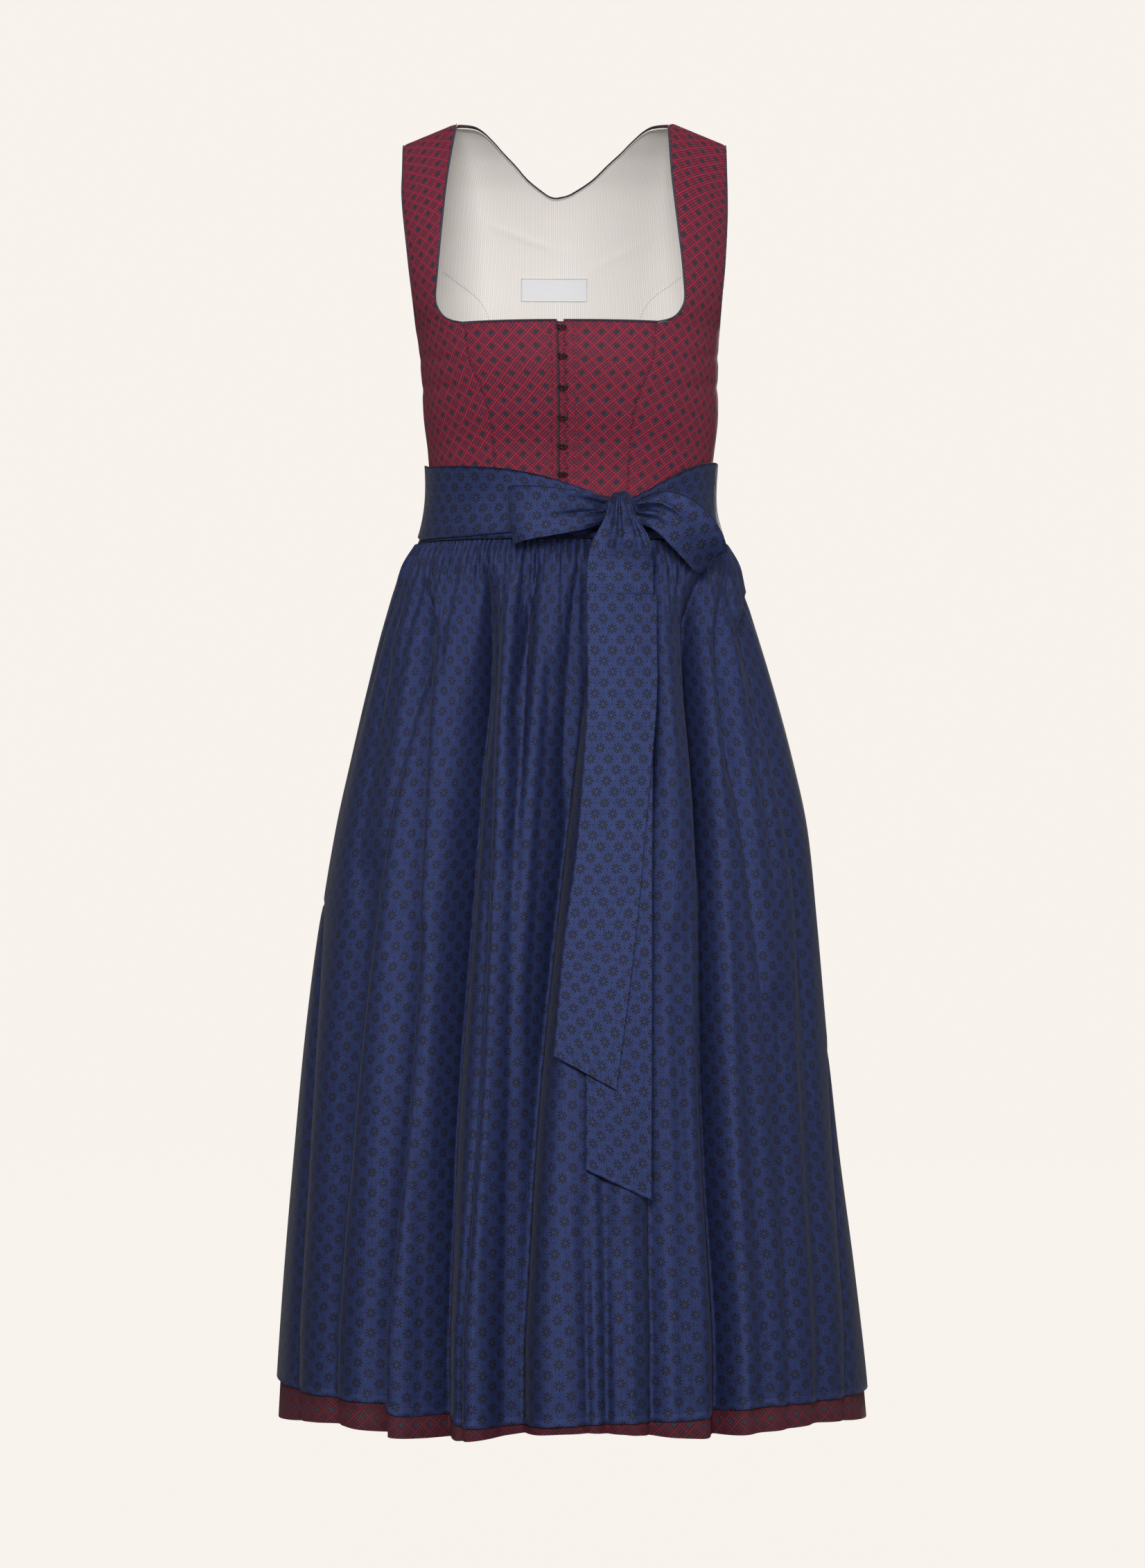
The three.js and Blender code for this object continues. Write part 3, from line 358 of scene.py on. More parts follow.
class Nodes:
    """Short calls for building a material's node tree."""

    def __init__(self, name):
        self.material = bpy.data.materials.new(name)
        self.material.use_nodes = True
        self.tree = self.material.node_tree
        self.shader = self.tree.nodes["Principled BSDF"]

    def put(self, socket, value):
        if isinstance(value, bpy.types.NodeSocket):
            self.tree.links.new(value, socket)
        elif value is not None:
            socket.default_value = value

    def math(self, operation, a, b=None, c=None):
        node = self.tree.nodes.new("ShaderNodeMath")
        node.operation = operation
        for socket, value in zip(node.inputs, (a, b, c)):
            self.put(socket, value)
        return node.outputs[0]

    def length(self, x, y):
        squares = [self.math("MULTIPLY", value, value) for value in (x, y)]
        return self.math("SQRT", self.math("ADD", *squares))

    def plain_weave(self, u, v, density):
        """Threads that cross: the product of a sine wave along each direction."""
        waves = [self.math("SINE", self.math("MULTIPLY", value, density)) for value in (u, v)]
        return self.math("MULTIPLY", *waves)

    def cloth(self):
        """The cloth coordinates in centimetres: as one vector, to the right and down."""
        node = self.tree.nodes.new("ShaderNodeUVMap")
        node.uv_map = "cloth"
        parts = self.tree.nodes.new("ShaderNodeSeparateXYZ")
        self.tree.links.new(node.outputs[0], parts.inputs[0])
        return node.outputs[0], parts.outputs[0], parts.outputs[1]

    def noise(self, vector, scale, detail=3.0, rough=0.55):
        node = self.tree.nodes.new("ShaderNodeTexNoise")
        self.tree.links.new(vector, node.inputs["Vector"])
        node.inputs["Scale"].default_value = scale
        node.inputs["Detail"].default_value = detail
        node.inputs["Roughness"].default_value = rough
        return node.outputs["Fac"]

    def stretched(self, vector, scale):
        node = self.tree.nodes.new("ShaderNodeVectorMath")
        node.operation = "MULTIPLY"
        self.tree.links.new(vector, node.inputs[0])
        node.inputs[1].default_value = scale
        return node.outputs[0]

    def blend(self, share, a, b):
        node = self.tree.nodes.new("ShaderNodeMix")
        node.data_type = "RGBA"
        self.put(node.inputs[0], share)
        for socket, value in ((node.inputs[6], a), (node.inputs[7], b)):
            self.put(socket, value if isinstance(value, bpy.types.NodeSocket) else (*value, 1))
        return node.outputs[2]

    def near(self, value, width, soft):
        """1 where value is below width, falling to 0 over soft."""
        node = self.tree.nodes.new("ShaderNodeMapRange")
        node.interpolation_type = "SMOOTHSTEP"
        self.put(node.inputs[0], value)
        for socket, number in zip(node.inputs[1:5], (width, width + soft, 1, 0)):
            socket.default_value = number
        return node.outputs[0]

    def bump(self, height, distance, strength=1.0):
        node = self.tree.nodes.new("ShaderNodeBump")
        self.put(node.inputs["Height"], height)
        node.inputs["Distance"].default_value = distance
        node.inputs["Strength"].default_value = strength
        self.tree.links.new(node.outputs[0], self.shader.inputs["Normal"])

    def finish(self, color, rough, **extras):
        if not isinstance(color, bpy.types.NodeSocket):
            color = (*color, 1)
        self.put(self.shader.inputs["Base Color"], color)
        self.put(self.shader.inputs["Roughness"], rough)
        for name, value in extras.items():
            self.shader.inputs[name.replace("_", " ")].default_value = value
        return self.material


def cell(n, value, pitch, shift=0.0):
    """Signed distance from the nearest of the lines that stand a pitch apart."""
    turned = n.math("ADD", n.math("DIVIDE", value, pitch), shift + 0.5)
    return n.math("MULTIPLY", n.math("SUBTRACT", n.math("FRACT", turned), 0.5), pitch)


def daisy(n, x, y):
    """An open flower of eight short strokes, sizes in centimetres."""
    petals, middle, half_length, half_width, widening = 8, 0.285, 0.135, 0.024, 0.10
    radius = n.length(x, y)
    petal = 2 * math.pi / petals
    turn = n.math("ADD", n.math("DIVIDE", n.math("ARCTAN2", y, x), petal), petals + 0.5)
    off_axis = n.math("MULTIPLY", n.math("SUBTRACT", n.math("FRACT", turn), 0.5), petal)
    away = n.math("MULTIPLY", radius, n.math("ABSOLUTE", n.math("SINE", off_axis)))
    width = n.math("SUBTRACT", away, n.math("MULTIPLY", radius, widening))
    inside = n.near(width, half_width, 0.02)
    ring = n.near(n.math("ABSOLUTE", n.math("SUBTRACT", radius, middle)), half_length, 0.03)
    return n.math("MULTIPLY", inside, ring)


def apron_cloth(name, turned=False, base=(0.0195, 0.0295, 0.096), column=1.92, pitch=1.74):
    """Shot blue cloth with a woven repeat of small daisies and dots, sizes in centimetres."""
    dot_radius, thread_density, mark_color = 0.040, 160, (0.006, 0.005, 0.006)
    n = Nodes(name)
    vector, u, v = n.cloth()
    if turned:
        u, v = v, u
    first = daisy(n, cell(n, u, column), cell(n, v, pitch))
    second = daisy(n, cell(n, u, column, 0.5), cell(n, v, pitch, 0.5))
    mark = n.math("MAXIMUM", first, second)
    for shift_u, shift_v in ((0, 0.5), (0.5, 0)):
        x, y = cell(n, u, column, shift_u), cell(n, v, pitch, shift_v)
        mark = n.math("MAXIMUM", mark, n.near(n.length(x, y), dot_radius, 0.03))
    slubs = n.noise(n.stretched(vector, (9.0, 0.30, 1)), 3.0)
    cross = n.noise(n.stretched(vector, (0.5, 9.0, 1)), 3.0)
    tone = n.math("ADD", n.math("MULTIPLY", slubs, 0.55), n.math("MULTIPLY", cross, 0.45))
    light = tuple(c * 1.45 for c in base)
    deep = tuple(c * 0.50 for c in base)
    ground = n.blend(n.near(n.math("SUBTRACT", 1.0, tone), 0.30, 0.40), deep, light)
    color = n.blend(mark, ground, mark_color)
    threads = n.plain_weave(u, v, thread_density)
    height = n.math("ADD", n.math("MULTIPLY", threads, 0.35), n.math("MULTIPLY", tone, 1.2))
    n.bump(height, 0.00012, 0.6)
    n.put(n.shader.inputs["Metallic"], n.math("MULTIPLY_ADD", mark, -0.5, 0.55))
    return n.finish(color, 0.50, Sheen_Weight=0.10, Sheen_Roughness=0.35, Sheen_Tint=(0.62, 0.60, 0.50, 1),
                    Specular_IOR_Level=0.2)


def jacquard(name, red=(0.40, 0.009, 0.034), navy=(0.019, 0.010, 0.026), tilt=0.0):
    """Red jacquard: slanting twill lines of red beads on a dark ground, with small four-lobed navy spots.

    Sizes are in centimetres. tilt turns the pattern, in radians.
    """
    column, pitch, thread = 1.31, 1.19, 0.335
    spot_size, spot_color = 0.20, (0.016, 0.017, 0.032)
    n = Nodes(name)
    vector, u, v = n.cloth()
    if tilt:
        c, s = math.cos(tilt), math.sin(tilt)
        u, v = (n.math("ADD", n.math("MULTIPLY", u, c), n.math("MULTIPLY", v, -s)),
                n.math("ADD", n.math("MULTIPLY", u, s), n.math("MULTIPLY", v, c)))
    x, y = cell(n, u, column), cell(n, v, pitch)
    ax, ay = n.math("ABSOLUTE", x), n.math("ABSOLUTE", y)
    lobes = n.math("ADD", n.math("MAXIMUM", ax, ay), n.math("MULTIPLY", n.math("MINIMUM", ax, ay), 0.6))
    spot = n.near(lobes, spot_size, 0.07)
    around = n.math("ADD", n.math("DIVIDE", ax, column / 2), n.math("DIVIDE", ay, pitch / 2))
    lattice = n.near(n.math("ABSOLUTE", n.math("SUBTRACT", around, 1.0)), 0.10, 0.20)
    wale, bead = (n.math("SINE", n.math("MULTIPLY", n.math(way, u, v), 2 * math.pi / thread))
                  for way in ("ADD", "SUBTRACT"))
    weave = n.math("ADD", n.math("MULTIPLY", wale, 0.62), n.math("MULTIPLY", bead, 0.38))
    fuzz = n.noise(vector, 9.0, 2.0)
    weave = n.math("ADD", weave, n.math("MULTIPLY_ADD", fuzz, 1.1, -0.55))
    beads = n.near(n.math("MULTIPLY", weave, -1.0), -0.50, 0.65)
    beads = n.math("MULTIPLY", beads, n.math("MULTIPLY_ADD", lattice, 0.58, 0.42))
    gap = n.math("ADD", beads, n.math("MULTIPLY", lattice, 0.14))
    dark_share = n.math("MULTIPLY_ADD", gap, -0.92, 0.92)
    ground = n.blend(dark_share, red, navy)
    color = n.blend(spot, ground, spot_color)
    n.bump(n.math("SUBTRACT", gap, n.math("MULTIPLY", spot, 0.5)), 0.0006, 0.8)
    return n.finish(color, 0.7, Sheen_Weight=0.04, Sheen_Roughness=0.5, Sheen_Tint=(0.8, 0.35, 0.4, 1),
                    Specular_IOR_Level=0.3)


def lining_cloth(name):
    """Ivory cotton with hair stripes of grey and rose."""
    n = Nodes(name)
    vector, u, v = n.cloth()
    stripe_pitch = 0.19
    stripe = n.near(n.math("ABSOLUTE", cell(n, u, stripe_pitch)), 0.022, 0.035)
    rose = n.near(n.math("ABSOLUTE", cell(n, u, 2 * stripe_pitch, 0.25)), 0.02, 0.03)
    ground = n.blend(n.math("MULTIPLY", stripe, 0.45), (0.80, 0.765, 0.725), (0.52, 0.49, 0.49))
    color = n.blend(n.math("MULTIPLY", rose, 0.22), ground, (0.70, 0.52, 0.50))
    n.bump(n.math("ADD", n.plain_weave(u, v, 120), n.noise(vector, 1.2)), 0.00015, 0.5)
    return n.finish(color, 0.85, Sheen_Weight=0.1, Sheen_Roughness=0.6)


def satin(name, color, rough):
    """Smooth cloth or thread with fine slanting ribs."""
    n = Nodes(name)
    _, u, v = n.cloth()
    rib = n.math("SINE", n.math("MULTIPLY", n.math("ADD", u, v), 90))
    tone = n.blend(n.math("MULTIPLY_ADD", rib, 0.25, 0.5), tuple(c * 0.75 for c in color), color)
    n.bump(rib, 0.00008, 0.6)
    return n.finish(tone, rough, Sheen_Weight=0.1)


def enamel(name):
    """Black lacquered wire."""
    n = Nodes(name)
    coordinates = n.tree.nodes.new("ShaderNodeTexCoord").outputs["Object"]
    wear = n.noise(coordinates, 900.0, 2.0)
    color = n.blend(wear, (0.006, 0.006, 0.007), (0.03, 0.03, 0.032))
    return n.finish(color, 0.28, Metallic=0.6)


MATERIALS = dict(
    bodice=jacquard("bodice_jacquard"),
    side_left=jacquard("bodice_jacquard_side", tilt=0.12),
    side_right=jacquard("bodice_jacquard_side_right", tilt=-0.12),
    # The skirt's jacquard is a darker copy of the bodice's: its red and navy are lowered partly for the
    # skirt's own deeper crimson and partly as painted shade from the apron hanging over it.
    skirt=jacquard("skirt_jacquard", red=(0.15, 0.003, 0.015), navy=(0.006, 0.004, 0.009)),
    apron=apron_cloth("apron_cloth"),
    tie=apron_cloth("tie_cloth", turned=True, base=(0.0215, 0.033, 0.104), column=1.88, pitch=1.50),
    lining=lining_cloth("lining_cotton"),
    label=satin("label_satin", (0.77, 0.77, 0.79), 0.55),
    piping=satin("piping_satin", (0.012, 0.015, 0.035), 0.4),
    enamel=enamel("hook_enamel"),
    thread=satin("lining_thread", (0.30, 0.27, 0.28), 0.7),
    dark_thread=satin("dark_thread", (0.018, 0.010, 0.016), 0.7),
)


def inner_edge(side, height):
    """Angle of a strap's inner edge, or of the princess seam below it."""
    return angle_at(centre_line(height) + side * between(FRONT_INNER, "z", "x", height), height)


def armhole_edge(side, height, at_back):
    table = BACK_ARMHOLE if at_back else FRONT_ARMHOLE
    x = form_row("shift", height) + side * between(table, "z", "x", height)
    angle = angle_at(x, height, at_back)
    angle = np.where(angle > math.pi, angle - 2 * math.pi, angle)
    return np.where(np.asarray(height) <= ARMHOLE, side * math.pi / 2, angle)


def back_seam(side, height):
    reach = between(BACK_SEAM, "z", "x", height)
    lean = between(CENTRE_LINE, "z", "x", height) * (1 - reach / BACK_SEAM["x"][0])
    angle = angle_at(form_row("shift", height) + lean + side * reach, height, True)
    return np.where(angle > math.pi, angle - 2 * math.pi, angle)


def back_edge(side, height):
    below = np.asarray(height) <= BACK_SEAM_TOP
    return np.where(below, back_seam(side, height), armhole_edge(side, height, True))


SEAM_TURN = 0.01 / 95       # half of a seam's gap, as an angle
TOP_ROW = -0.6
ROLL_REACH = 1.6            # how far from a seam the panel's edge turns in
BUST_CREASES = (            # side, height, slope
    (1, -213, 0.30), (1, -238, 0.22), (-1, -216, -0.26), (-1, -240, -0.20),
)


def back_place(u, row, edge_of, margin=0.0):
    """Angles and heights of a sheet over the back, whose rows end along the V of the neck edge."""
    side = np.where(u < 0.5, -1, 1)
    share = np.abs(2 * u - 1)
    edge = math.pi - np.where(side < 0, np.abs(edge_of(-1, row)), np.abs(edge_of(1, row))) - margin
    neck_top = between(BACK_NECK, "x", "z", share * BACK_NECK["x"][-1])
    height = WAIST_SEAM + (row - WAIST_SEAM) * (neck_top - WAIST_SEAM) / (TOP_ROW - WAIST_SEAM)
    lean = (1 - share) * between(CENTRE_LINE, "z", "x", height) / form_row("half", height)
    return math.pi - side * edge * share - lean, height


def bodice_relief(angle, height):
    """Gentle pulls in the tight bodice: slanting creases at the bust and waist."""
    x = form_point(angle, height)[..., 0]
    pull = np.sin((x * 0.45 + height) / 21) * np.exp(-((height + 305) / 26) ** 2) * 0.7
    at_sides = np.exp(-((np.abs(x) - 122) / 12) ** 2) * smooth_step(-150, -230, height)
    pull += np.sin((height - x * 0.3) / 13) * at_sides * 0.8
    for side, level, slope in BUST_CREASES:
        line = level + slope * (x - side * 112)
        pull -= 1.5 * np.exp(-((height - line) / 4.5) ** 2) * np.exp(-((x - side * 116) / 20) ** 2)
    return pull


def panel(name, place, rows, columns, outside, node, rolled):
    """A bodice panel. rolled is how far its left and right edges turn in at their seams."""
    u = np.linspace(0, 1, columns)[None, :]
    heights = np.array(rows)[:, None]
    angle, height = place(u, heights)
    angle, height = np.broadcast_arrays(angle, height)
    on_form = form_point(angle, height)
    width = np.maximum(np.linalg.norm(on_form[:, -1] - on_form[:, 0], axis=-1)[:, None], 8)
    turned_in = [depth * np.exp(-(share * width / ROLL_REACH) ** 2)
                 for depth, share in zip(rolled, (u, 1 - u))]
    lift = bodice_relief(angle, height) - sum(turned_in)
    outer = out_from(angle, height, lift)
    inner = out_from(angle, height, lift - CLOTH + 0.1)
    uv = cloth_uv(outer, outer - inner)
    placed(shell(name, outer, inner, uv, MATERIALS[outside], MATERIALS["lining"]), [node])


def denser(rows, step):
    """The same heights with more between them, none further apart than step."""
    found = [rows[0]]
    for low, high in zip(rows, rows[1:]):
        parts = max(1, math.ceil((high - low) / step))
        found += [low + (high - low) * k / parts for k in range(1, parts + 1)]
    return found


BODICE_ROWS = denser([-335, -265, -203, -190, -187, -183, -178, -172, -165, -149, -133, -118, -112, -92,
                      -52, -20, -10, -4, -0.6], 2.5)
LOWER_ROWS = [h for h in BODICE_ROWS if h <= NECKLINE + 1e-6]
OPENING = {-1: -2.6, 1: 3}      # each side's edge from the centre line


def front_place(side):
    """From the strap's inner edge or the princess seam to the armhole or the side seam."""
    def place(u, h):
        start = inner_edge(side, h)
        reach = armhole_edge(side, h, False) - start - 2 * side * SEAM_TURN
        return start + side * SEAM_TURN + u * reach, h
    return place


def centre_place(side):
    """From the opening's edge to the princess seam."""
    def place(u, h):
        start = angle_at(centre_line(h) + OPENING[side], h)
        return start + u * (inner_edge(side, h) - side * SEAM_TURN - start), h
    return place


def side_back_place(side):
    """From the armhole or the side seam to the curved back seam, which nearly meet at the top."""
    least_width = 0.006

    def place(u, h):
        outer = np.abs(armhole_edge(side, h, True)) + SEAM_TURN
        seam = np.maximum(np.abs(back_seam(side, h)) - SEAM_TURN, outer + least_width)
        return side * (outer + u * (seam - outer)), h
    return place


def make_bodice():
    """Centre front, side front with its strap and side back on each side, and one back."""
    below_armhole = [h for h in BODICE_ROWS if h <= BACK_SEAM_TOP]
    for side, name in SIDES:
        panel(f"centre_front_shell_{name}", centre_place(side), LOWER_ROWS, 60, "bodice",
              f"bodice_centre_front_{name}", (0.3, 0.9))
        panel(f"side_front_shell_{name}", front_place(side), BODICE_ROWS, 60, f"side_{name}",
              f"bodice_side_front_{name}", (0.6, 0.6))
        panel(f"side_back_shell_{name}", side_back_place(side), below_armhole, 50, f"side_{name}",
              f"bodice_side_back_{name}", (0.6, 0.8))
    panel("back_shell", lambda u, row: back_place(u, row, back_edge, SEAM_TURN), BODICE_ROWS, 150, "bodice",
          "bodice_back", (0.4, 0.4))


LINING_FACE = -(CLOTH + 1.3)        # where the lining's wall starts, from the bodice's outer face
LINING_CLOTH = 1.0
LINING_EASE = 0.25                  # the sheet lies this much nearer to the bodice


def make_lining():
    """The back's striped lining, with slanting drags below the neck and a fold over each back seam."""
    u = np.linspace(0, 1, 120)[None, :]
    rows = np.array(denser([-205, -165, -112, -50, -10, -0.8], 3))[:, None]
    angle, height = back_place(u, rows, lambda side, h: armhole_edge(side, h, True), 0.035)
    angle, height = np.broadcast_arrays(angle, height)
    x = form_point(angle, height)[..., 0]
    drag = np.exp(-(((x + 30) * 0.35 + height + 95) / 3.0) ** 2) * np.exp(-((x + 45) / 38) ** 2) * 0.9
    drag += np.exp(-(((x - 30) * 0.5 - height - 112) / 3.5) ** 2) * np.exp(-((x - 42) / 30) ** 2) * 0.7
    seam = np.zeros_like(x)
    for side in (-1, 1):
        line = centre_line(height) + side * between(BACK_SEAM, "z", "x", height)
        near = (x - line) / np.maximum(2.0, np.where(height > -150, 5.0, 2.0))
        seam += np.exp(-near ** 2) * smooth_step(-108, -116, height) * 0.8
    lift = LINING_FACE + LINING_EASE - drag + seam
    outer = out_from(angle, height, lift)
    inner = out_from(angle, height, lift - LINING_CLOTH)
    piece = shell("lining_shell", outer, inner, cloth_uv(outer), MATERIALS["lining"])
    placed(piece, ["back_lining"])
    for side, name in SIDES:
        h = np.arange(-200, -122, 0.8)
        line = back_seam(side, h)
        inside = LINING_FACE - LINING_CLOTH + LINING_EASE - 0.10
        seam_line = out_from(line, h, np.full_like(h, inside))
        stitches(f"lining_stitches_{name}", seam_line, 1.6, 1.3, "thread")


def make_label():
    """A bare woven label whose short ends are tucked under."""
    label_u = np.linspace(-36, 24, 40)[None, :]
    label_h = np.linspace(-146.5, -126, 16)[:, None]
    angle, height = np.broadcast_arrays(angle_at(centre_line(label_h) + label_u, label_h, True), label_h)
    depth = LINING_FACE - LINING_CLOTH - SEAM - 0.25
    tuck = 0.25 * (np.exp(-((label_u + 34.5) / 0.7) ** 2) + np.exp(-((label_u - 22.5) / 0.7) ** 2))
    outer = out_from(angle, height, depth - 0.5 + tuck)
    inner = out_from(angle, height, np.full_like(angle, depth + 0.25))
    label = shell("label_shell", outer, inner, cloth_uv(outer), MATERIALS["label"])
    placed(label, ["woven_label"])


def tube(name, centres, ups, outs, radius, sides, material, closed=False):
    """A tube whose ring at each centre is spanned by two directions."""
    turns = np.arange(sides) * 2 * math.pi / sides
    ring = ups[:, None] * np.cos(turns)[None, :, None] + outs[:, None] * np.sin(turns)[None, :, None]
    points = centres[:, None] + ring * radius
    count = len(centres)
    faces = []
    for r in range(count if closed else count - 1):
        for s in range(sides):
            a, b = r * sides + s, r * sides + (s + 1) % sides
            c, d = (r + 1) % count * sides + s, (r + 1) % count * sides + (s + 1) % sides
            faces.append([a, c, d, b])
    if not closed:
        faces.append(list(range(sides)))
        faces.append([(count - 1) * sides + s for s in range(sides)][::-1])
    along = arc_lengths(centres) / 10
    uvs = np.stack([np.repeat(along, sides), np.tile(turns * 0.1, count)], -1)
    piece = make_mesh(name, points.reshape(-1, 3), faces, uvs, [material])
    if np.dot(np.cross(ups[0], outs[0]), centres[1] - centres[0]) > 0:
        piece.data.flip_normals()
    return piece


def stitches(name, line, length, space, material):
    """Short thread dashes along a line of points, six-sided and thinner at both ends."""
    radius, sides, shares, sizes = 0.22, 6, np.array([0, 0.25, 0.75, 1]), (0.3, 1, 1, 0.3)
    steps = arc_lengths(line)
    points, faces = [], []
    start = space
    while start + length < steps[-1]:
        at = start + shares * length
        centres = np.stack([np.interp(at, steps, line[:, k]) for k in range(3)], -1)
        along = unit(centres[-1] - centres[0])
        side = unit(np.cross(along, [0.1, 1, 0.2]))
        up = np.cross(side, along)
        base = len(points)
        for centre, size in zip(centres, sizes):
            for k in range(sides):
                turn = k * 2 * math.pi / sides
                points.append(centre + radius * size * (side * math.cos(turn) + up * math.sin(turn)))
        for r in range(len(sizes) - 1):
            for k in range(sides):
                a, b = base + r * sides + k, base + r * sides + (k + 1) % sides
                faces.append([a, b, b + sides, a + sides])
        faces.append([base + k for k in range(sides)][::-1])
        faces.append([len(points) - sides + k for k in range(sides)])
        start += length + space
    points = np.array(points)
    placed(make_mesh(name, points, faces, points[:, [0, 2]] / 10, [MATERIALS[material]]), [])


def piping_along(name, angles, heights, side, closed=False, radius=0.85):
    """A cord sewn along a cloth edge. side says to which hand of its direction it stands off the cloth."""
    angles, heights = np.asarray(angles, float), np.asarray(heights, float)
    edge = out_from(angles, heights, np.full_like(angles, -CLOTH / 2))
    before = np.roll(edge, 1, 0) if closed else np.concatenate([edge[:1], edge[:-1]])
    after = np.roll(edge, -1, 0) if closed else np.concatenate([edge[1:], edge[-1:]])
    up = form_normal(angles, heights)
    out = unit(np.cross(up, unit(after - before))) * side
    up = unit(np.cross(unit(after - before), out)) * side
    centres = edge + out * (radius + 0.1)
    placed(tube(name + "_cord", centres, up, out, radius, 10, MATERIALS["piping"], closed), [name])


def make_piping():
    """Cords along both straps and the front neckline, round both armholes and along the V of the back."""
    straps = np.array([h for h in BODICE_ROWS if h > NECKLINE][::-1])
    for side, name in SIDES:
        princess = between(FRONT_INNER, "z", "x", NECKLINE)
        across = centre_line(NECKLINE) + np.linspace(side * princess, OPENING[side], 30)
        angles = np.concatenate([inner_edge(side, straps), angle_at(across, NECKLINE)])
        heights = np.concatenate([straps, np.full(30, NECKLINE)])
        piping_along(f"neck_piping_front_{name}", angles, heights, -side)
        down = np.array([h for h in BODICE_ROWS if h > -189.5][::-1])
        angles = np.concatenate([armhole_edge(side, down, False), [side * math.pi / 2],
                                 armhole_edge(side, down[::-1], True)])
        heights = np.concatenate([down, [ARMHOLE], down[::-1]])
        piping_along(f"armhole_piping_{name}", angles, heights, side, closed=True)
    u = np.linspace(1 / 6, 5 / 6, 120)
    angles, heights = back_place(u, np.full(120, TOP_ROW), back_edge, SEAM_TURN)
    piping_along("neck_piping_back", angles, heights, -1, radius=0.6)


def strip(low, high, columns):
    """Angles, heights and shares of a strip beside the centre line, down the whole closure."""
    u = np.linspace(0, 1, columns)[None, :]
    h = np.array(LOWER_ROWS)[:, None]
    return np.broadcast_arrays(angle_at(centre_line(h) + low + u * (high - low), h), h, u)


HOOK_HEIGHTS = [-192.5, -217, -243, -268, -292, -316]
CHANNELS = (("left", -8.2, -3), ("right", 4.2, 12))     # reach across, from the centre line
CHANNEL_SEAMS = (("left", -11.2), ("right", 14.6))
HOOK = dict(middle=1.2, half_width=3.9, half_height=1.75, rise=2.5, wire=0.72)


def make_closure():
    """Underlap, padded boning channels with their seams, and a thin dark cord along the opening's left edge
    that is painted shade for the shadow line there.
    """
    underlap_cloth = 1.2
    angle, height, _ = strip(-11, 12, 20)
    outer = out_from(angle, height, np.full_like(angle, -CLOTH - SEAM))
    inner = out_from(angle, height, np.full_like(angle, -CLOTH - SEAM - underlap_cloth))
    uv = cloth_uv(outer, outer - inner) + [0.3, 0]
    piece = shell("underlap_shell", outer, inner, uv, MATERIALS["bodice"], MATERIALS["lining"])
    placed(piece, ["placket_underlap"])
    for name, low, high in CHANNELS:
        angle, height, u = strip(low, high, 16)
        relief = bodice_relief(angle, height)
        crown = 1.25 * np.sin(math.pi * np.clip(u, 0, 1)) ** 0.6
        outer = out_from(angle, height, 0.25 + relief + crown)
        inner = out_from(angle, height, 0.1 + relief)
        uv = cloth_uv(outer, outer - inner) + [0.45, 0]
        piece = shell(f"boning_shell_{name}", outer, inner, uv, MATERIALS["bodice"])
        placed(piece, [f"boning_channel_{name}"])
    heights = np.array(LOWER_ROWS)
    for name, across in CHANNEL_SEAMS:
        angle = angle_at(centre_line(heights) + across, heights)
        line = out_from(angle, heights, bodice_relief(angle, heights) + 0.05)
        stitches(f"channel_stitches_{name}", line, 2.0, 1.1, "dark_thread")
    # A thin dark cord at the opening's left edge: painted shade for the shadow line where that edge stands
    # over the underlap.
    edge = angle_at(centre_line(heights) - 2.2, heights)
    normal = form_normal(edge, heights)
    centres = out_from(edge, heights, np.full_like(heights, 0.15))
    along = unit(np.gradient(centres, axis=0))
    side = unit(np.cross(normal, along))
    shadow_cord = tube("opening_shadow_cord", centres, unit(np.cross(along, side)), side, 0.62, 8, MATERIALS["dark_thread"])
    placed(shadow_cord, [])


def make_hooks():
    """Six flat rings of wire, each raised at its bend and let down at its eye."""
    turns = np.linspace(0, 2 * math.pi, 44, endpoint=False)
    for i, height in enumerate(HOOK_HEIGHTS):
        across = HOOK["middle"] + HOOK["half_width"] * np.cos(turns)
        lift = HOOK["half_height"] * np.sin(turns) * (0.8 - 0.35 * np.cos(turns))
        angle = angle_at(centre_line(height) + across, height)
        h = height + lift
        bend, let_down = 0.9 * np.exp(-((across - 3.4) / 1.4) ** 2), 1.2 * smooth_step(0, -2.8, across)
        centres = out_from(angle, h, HOOK["rise"] + bend - let_down)
        up = form_normal(angle, h)
        along = unit(np.roll(centres, -1, 0) - np.roll(centres, 1, 0))
        out = unit(np.cross(up, along))
        up = unit(np.cross(along, out))
        wire = tube(f"hook_wire_{i + 1}", centres, up, out, HOOK["wire"], 8, MATERIALS["enamel"], True)
        placed(wire, [f"hook_{i + 1}"])


def along_folds(values, height):
    """A value given at the four fold heights, at any height."""
    return between(dict(z=FOLD_HEIGHTS, x=values), "z", "x", height)


def spread_at(angle, height):
    """Millimetres of the form to one radian."""
    return np.linalg.norm(form_point(angle + 0.02, height) - form_point(angle - 0.02, height), axis=-1) / 0.04


def hump(away, left, right):
    """A rounded fold, with a reach of its own to each side."""
    return np.exp(-(away / np.where(away < 0, left, right)) ** 2)


def valley(away, left, right):
    """A sharp valley with sides that flatten outwards."""
    away = np.abs(away) / np.where(away < 0, left, right)
    return np.exp(-np.sqrt(away ** 2 + 0.02) + 0.14)


